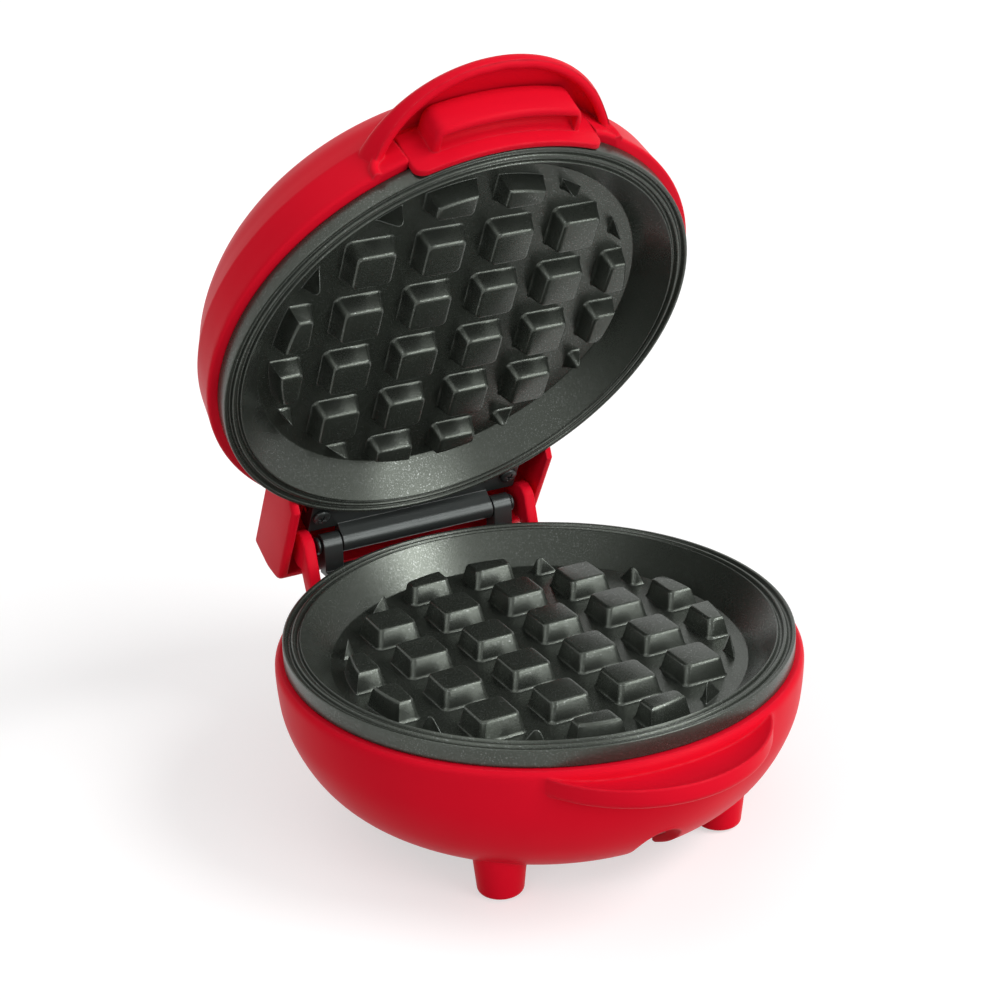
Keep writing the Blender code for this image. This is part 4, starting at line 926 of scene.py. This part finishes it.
rubber = finish("dark_rubber", (0.028, 0.028, 0.029), 0.78, grain=2000.0, grain_height=0.03, edge=0.4,
                wear_and_highlight_colour=(0.07, 0.07, 0.07), wear_and_highlight_share=0.4)
ceramic = finish("white_ceramic", (0.76, 0.75, 0.71), 0.42, grain=1500.0, grain_height=0.010,
                 wear_and_highlight_colour=(0.62, 0.60, 0.56))
resin = finish("brown_resin", (0.095, 0.048, 0.028), 0.45, grain=1700.0, grain_height=0.015,
               wear_and_highlight_colour=(0.16, 0.09, 0.06))
amber = finish("amber_lens", (0.80, 0.30, 0.05), 0.14, coat=0.5, transmission=0.75)
glass = finish("lamp_glass", (0.85, 0.66, 0.50), 0.10, grain_height=0.003, edge=0.2, transmission=0.8)


# Pieces

def piece(name, shape, material, body, slot, *nodes):
    """Set a shape in the frame, on its body, in place of the nodes that it stands for."""
    bmesh.ops.transform(shape, verts=shape.verts, matrix=lid_open if body == "lid" else on_table)
    thing = as_object(shape, name)
    thing.data.materials.append(material)
    thing.data.shade_smooth()
    thing.data.set_sharp_from_angle(angle=shade_sharp)
    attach(thing, body)
    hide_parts(*nodes)


piece("lower_housing_shell", lower_housing(), red, "base", "red_plastic", "lower_housing")
piece("lower_cooking_plate", cooking_plate(), coating, "base", "nonstick_coating", "lower_plate")
piece("lower_bracket", lower_bracket(), black, "base", "black_coated_steel", "lower_hinge_bracket")
piece("hinge_pivot_pin", hinge_pin(), black, "base", "black_coated_steel", "hinge_pin")
for side, low, high in zip(("left", "right"), lower_screws, upper_screws):
    piece(f"base_hinge_screw_{side}",
          screw(*low, -strap_top + seat_gap, -strap_top - hinge_screw_length + seat_gap, hinge_head_radius,
                hinge_head), black, "base", "black_coated_steel", f"lower_hinge_screw_{side}")
    piece(f"lid_hinge_screw_{side}",
          screw(*high, leaf_low - seat_gap, leaf_low + hinge_screw_length, hinge_head_radius, hinge_head),
          black, "lid", "black_coated_steel", f"upper_hinge_screw_{side}")
for number, place in enumerate(spots(boss_circle, screw_count), 1):
    piece(f"base_plate_screw_{number}",
          screw(*place, -bowl_foot_height + plate_head, -plate_back - boss_height + screw_depth,
                plate_head_radius, plate_head), bright, "base", "bright_steel", f"lower_plate_screw_{number}")

piece("upper_housing_shell", upper_housing(), red, "lid", "red_plastic", "upper_housing")
piece("grip_insert_moulding", grip_insert(), red, "lid", "red_plastic", "grip_insert")
piece("upper_cooking_plate", flipped(cooking_plate()), coating, "lid", "nonstick_coating", "upper_plate")
piece("upper_bracket", upper_bracket(), black, "lid", "black_coated_steel", "upper_hinge_bracket")
piece("pilot_lens_cap", pilot_lens(), amber, "lid", "amber_lens", "pilot_lens")

carried = (
    (sheath, "lower_heating_element", "upper_heating_element"), (resin, "thermostat"), (glass, "pilot_lamp"),
    (bright, "lower_reflector", "upper_reflector", *[f"upper_plate_screw_{number}" for number in (1, 2, 3)]),
    (rubber, "cord_bush", "foot_pad_front_left", "foot_pad_front_right", "foot_pad_rear_left",
     "foot_pad_rear_right"),
    (ceramic, "thermal_fuse", "terminal_block"))
for material, *names in carried:
    for name in names:
        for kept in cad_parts[name].material_slots:
            kept.material = material


# Stage, lights and camera

floor_size, floor_grey, floor_glow, sky_level = 6.0, 0.55, 0.55, 0.32


def by_ray(tree, lit, shown):
    """Shown to the camera, to a glossy surface and through glass, and lit for every other ray."""
    path = node(tree, "ShaderNodeLightPath")
    seen = maths(tree, "MAXIMUM", path.outputs["Is Camera Ray"], path.outputs["Is Glossy Ray"])
    seen = maths(tree, "MAXIMUM", seen, path.outputs["Is Transmission Ray"])
    return ranged(tree, seen, 0.0, 1.0, lit, shown)


def floor():
    shape = bmesh.new()
    bmesh.ops.create_grid(shape, x_segments=8, y_segments=8, size=floor_size)
    thing = as_object(shape, "floor")
    made, tree = tree_of("floor_white")
    matt = node(tree, "ShaderNodeBsdfDiffuse", {"Color": (floor_grey, floor_grey, floor_grey, 1.0)})
    glow = node(tree, "ShaderNodeEmission", {"Strength": by_ray(tree, 0.0, floor_glow)})
    both = node(tree, "ShaderNodeAddShader", {0: matt.outputs[0], 1: glow.outputs[0]})
    node(tree, "ShaderNodeOutputMaterial", {"Surface": both.outputs[0]})
    thing.data.materials.append(made)


def sun(name, level, spread, way):
    """A broad far lamp: level is what it adds to a white floor, way points from the object to it."""
    light = bpy.data.lights.new(name, "SUN")
    way = Vector(way).normalized()
    light.energy = level * math.pi / way.z
    light.angle = math.radians(spread)
    thing = bpy.data.objects.new(name, light)
    scene.collection.objects.link(thing)
    thing.rotation_euler = way.to_track_quat("Z", "Y").to_euler()


floor()
sun("key", 0.33, 26, (0.75, -0.62, 0.95))
sun("left", 0.08, 40, (-0.90, -0.55, 0.60))
sun("front", 0.12, 34, (0.42, -0.87, 0.30))
sun("top", 0.13, 60, (-0.10, 0.25, 1.0))

world = bpy.data.worlds.new("studio")
scene.world = world
world.use_nodes = True
sky = world.node_tree
sky.nodes.clear()
shine = node(sky, "ShaderNodeBackground", {"Color": (1.0, 1.0, 1.0, 1.0),
                                           "Strength": by_ray(sky, sky_level, 1.0)})
node(sky, "ShaderNodeOutputWorld", {"Surface": shine.outputs[0]})

camera_data = bpy.data.cameras.new("camera")
camera_data.lens = 79.786
camera_data.sensor_width = 36.0
camera_data.clip_start = 0.01
camera = bpy.data.objects.new("camera", camera_data)
scene.collection.objects.link(camera)
camera.matrix_world = Matrix(((0.8838, 0.2031, -0.4214, -0.25820), (-0.4671, 0.3342, -0.8186, -0.48852),
                              (-0.0254, 0.9204, 0.3902, 0.32088), (0.0, 0.0, 0.0, 1.0)))
scene.camera = camera
scene.view_settings.view_transform = "Standard"
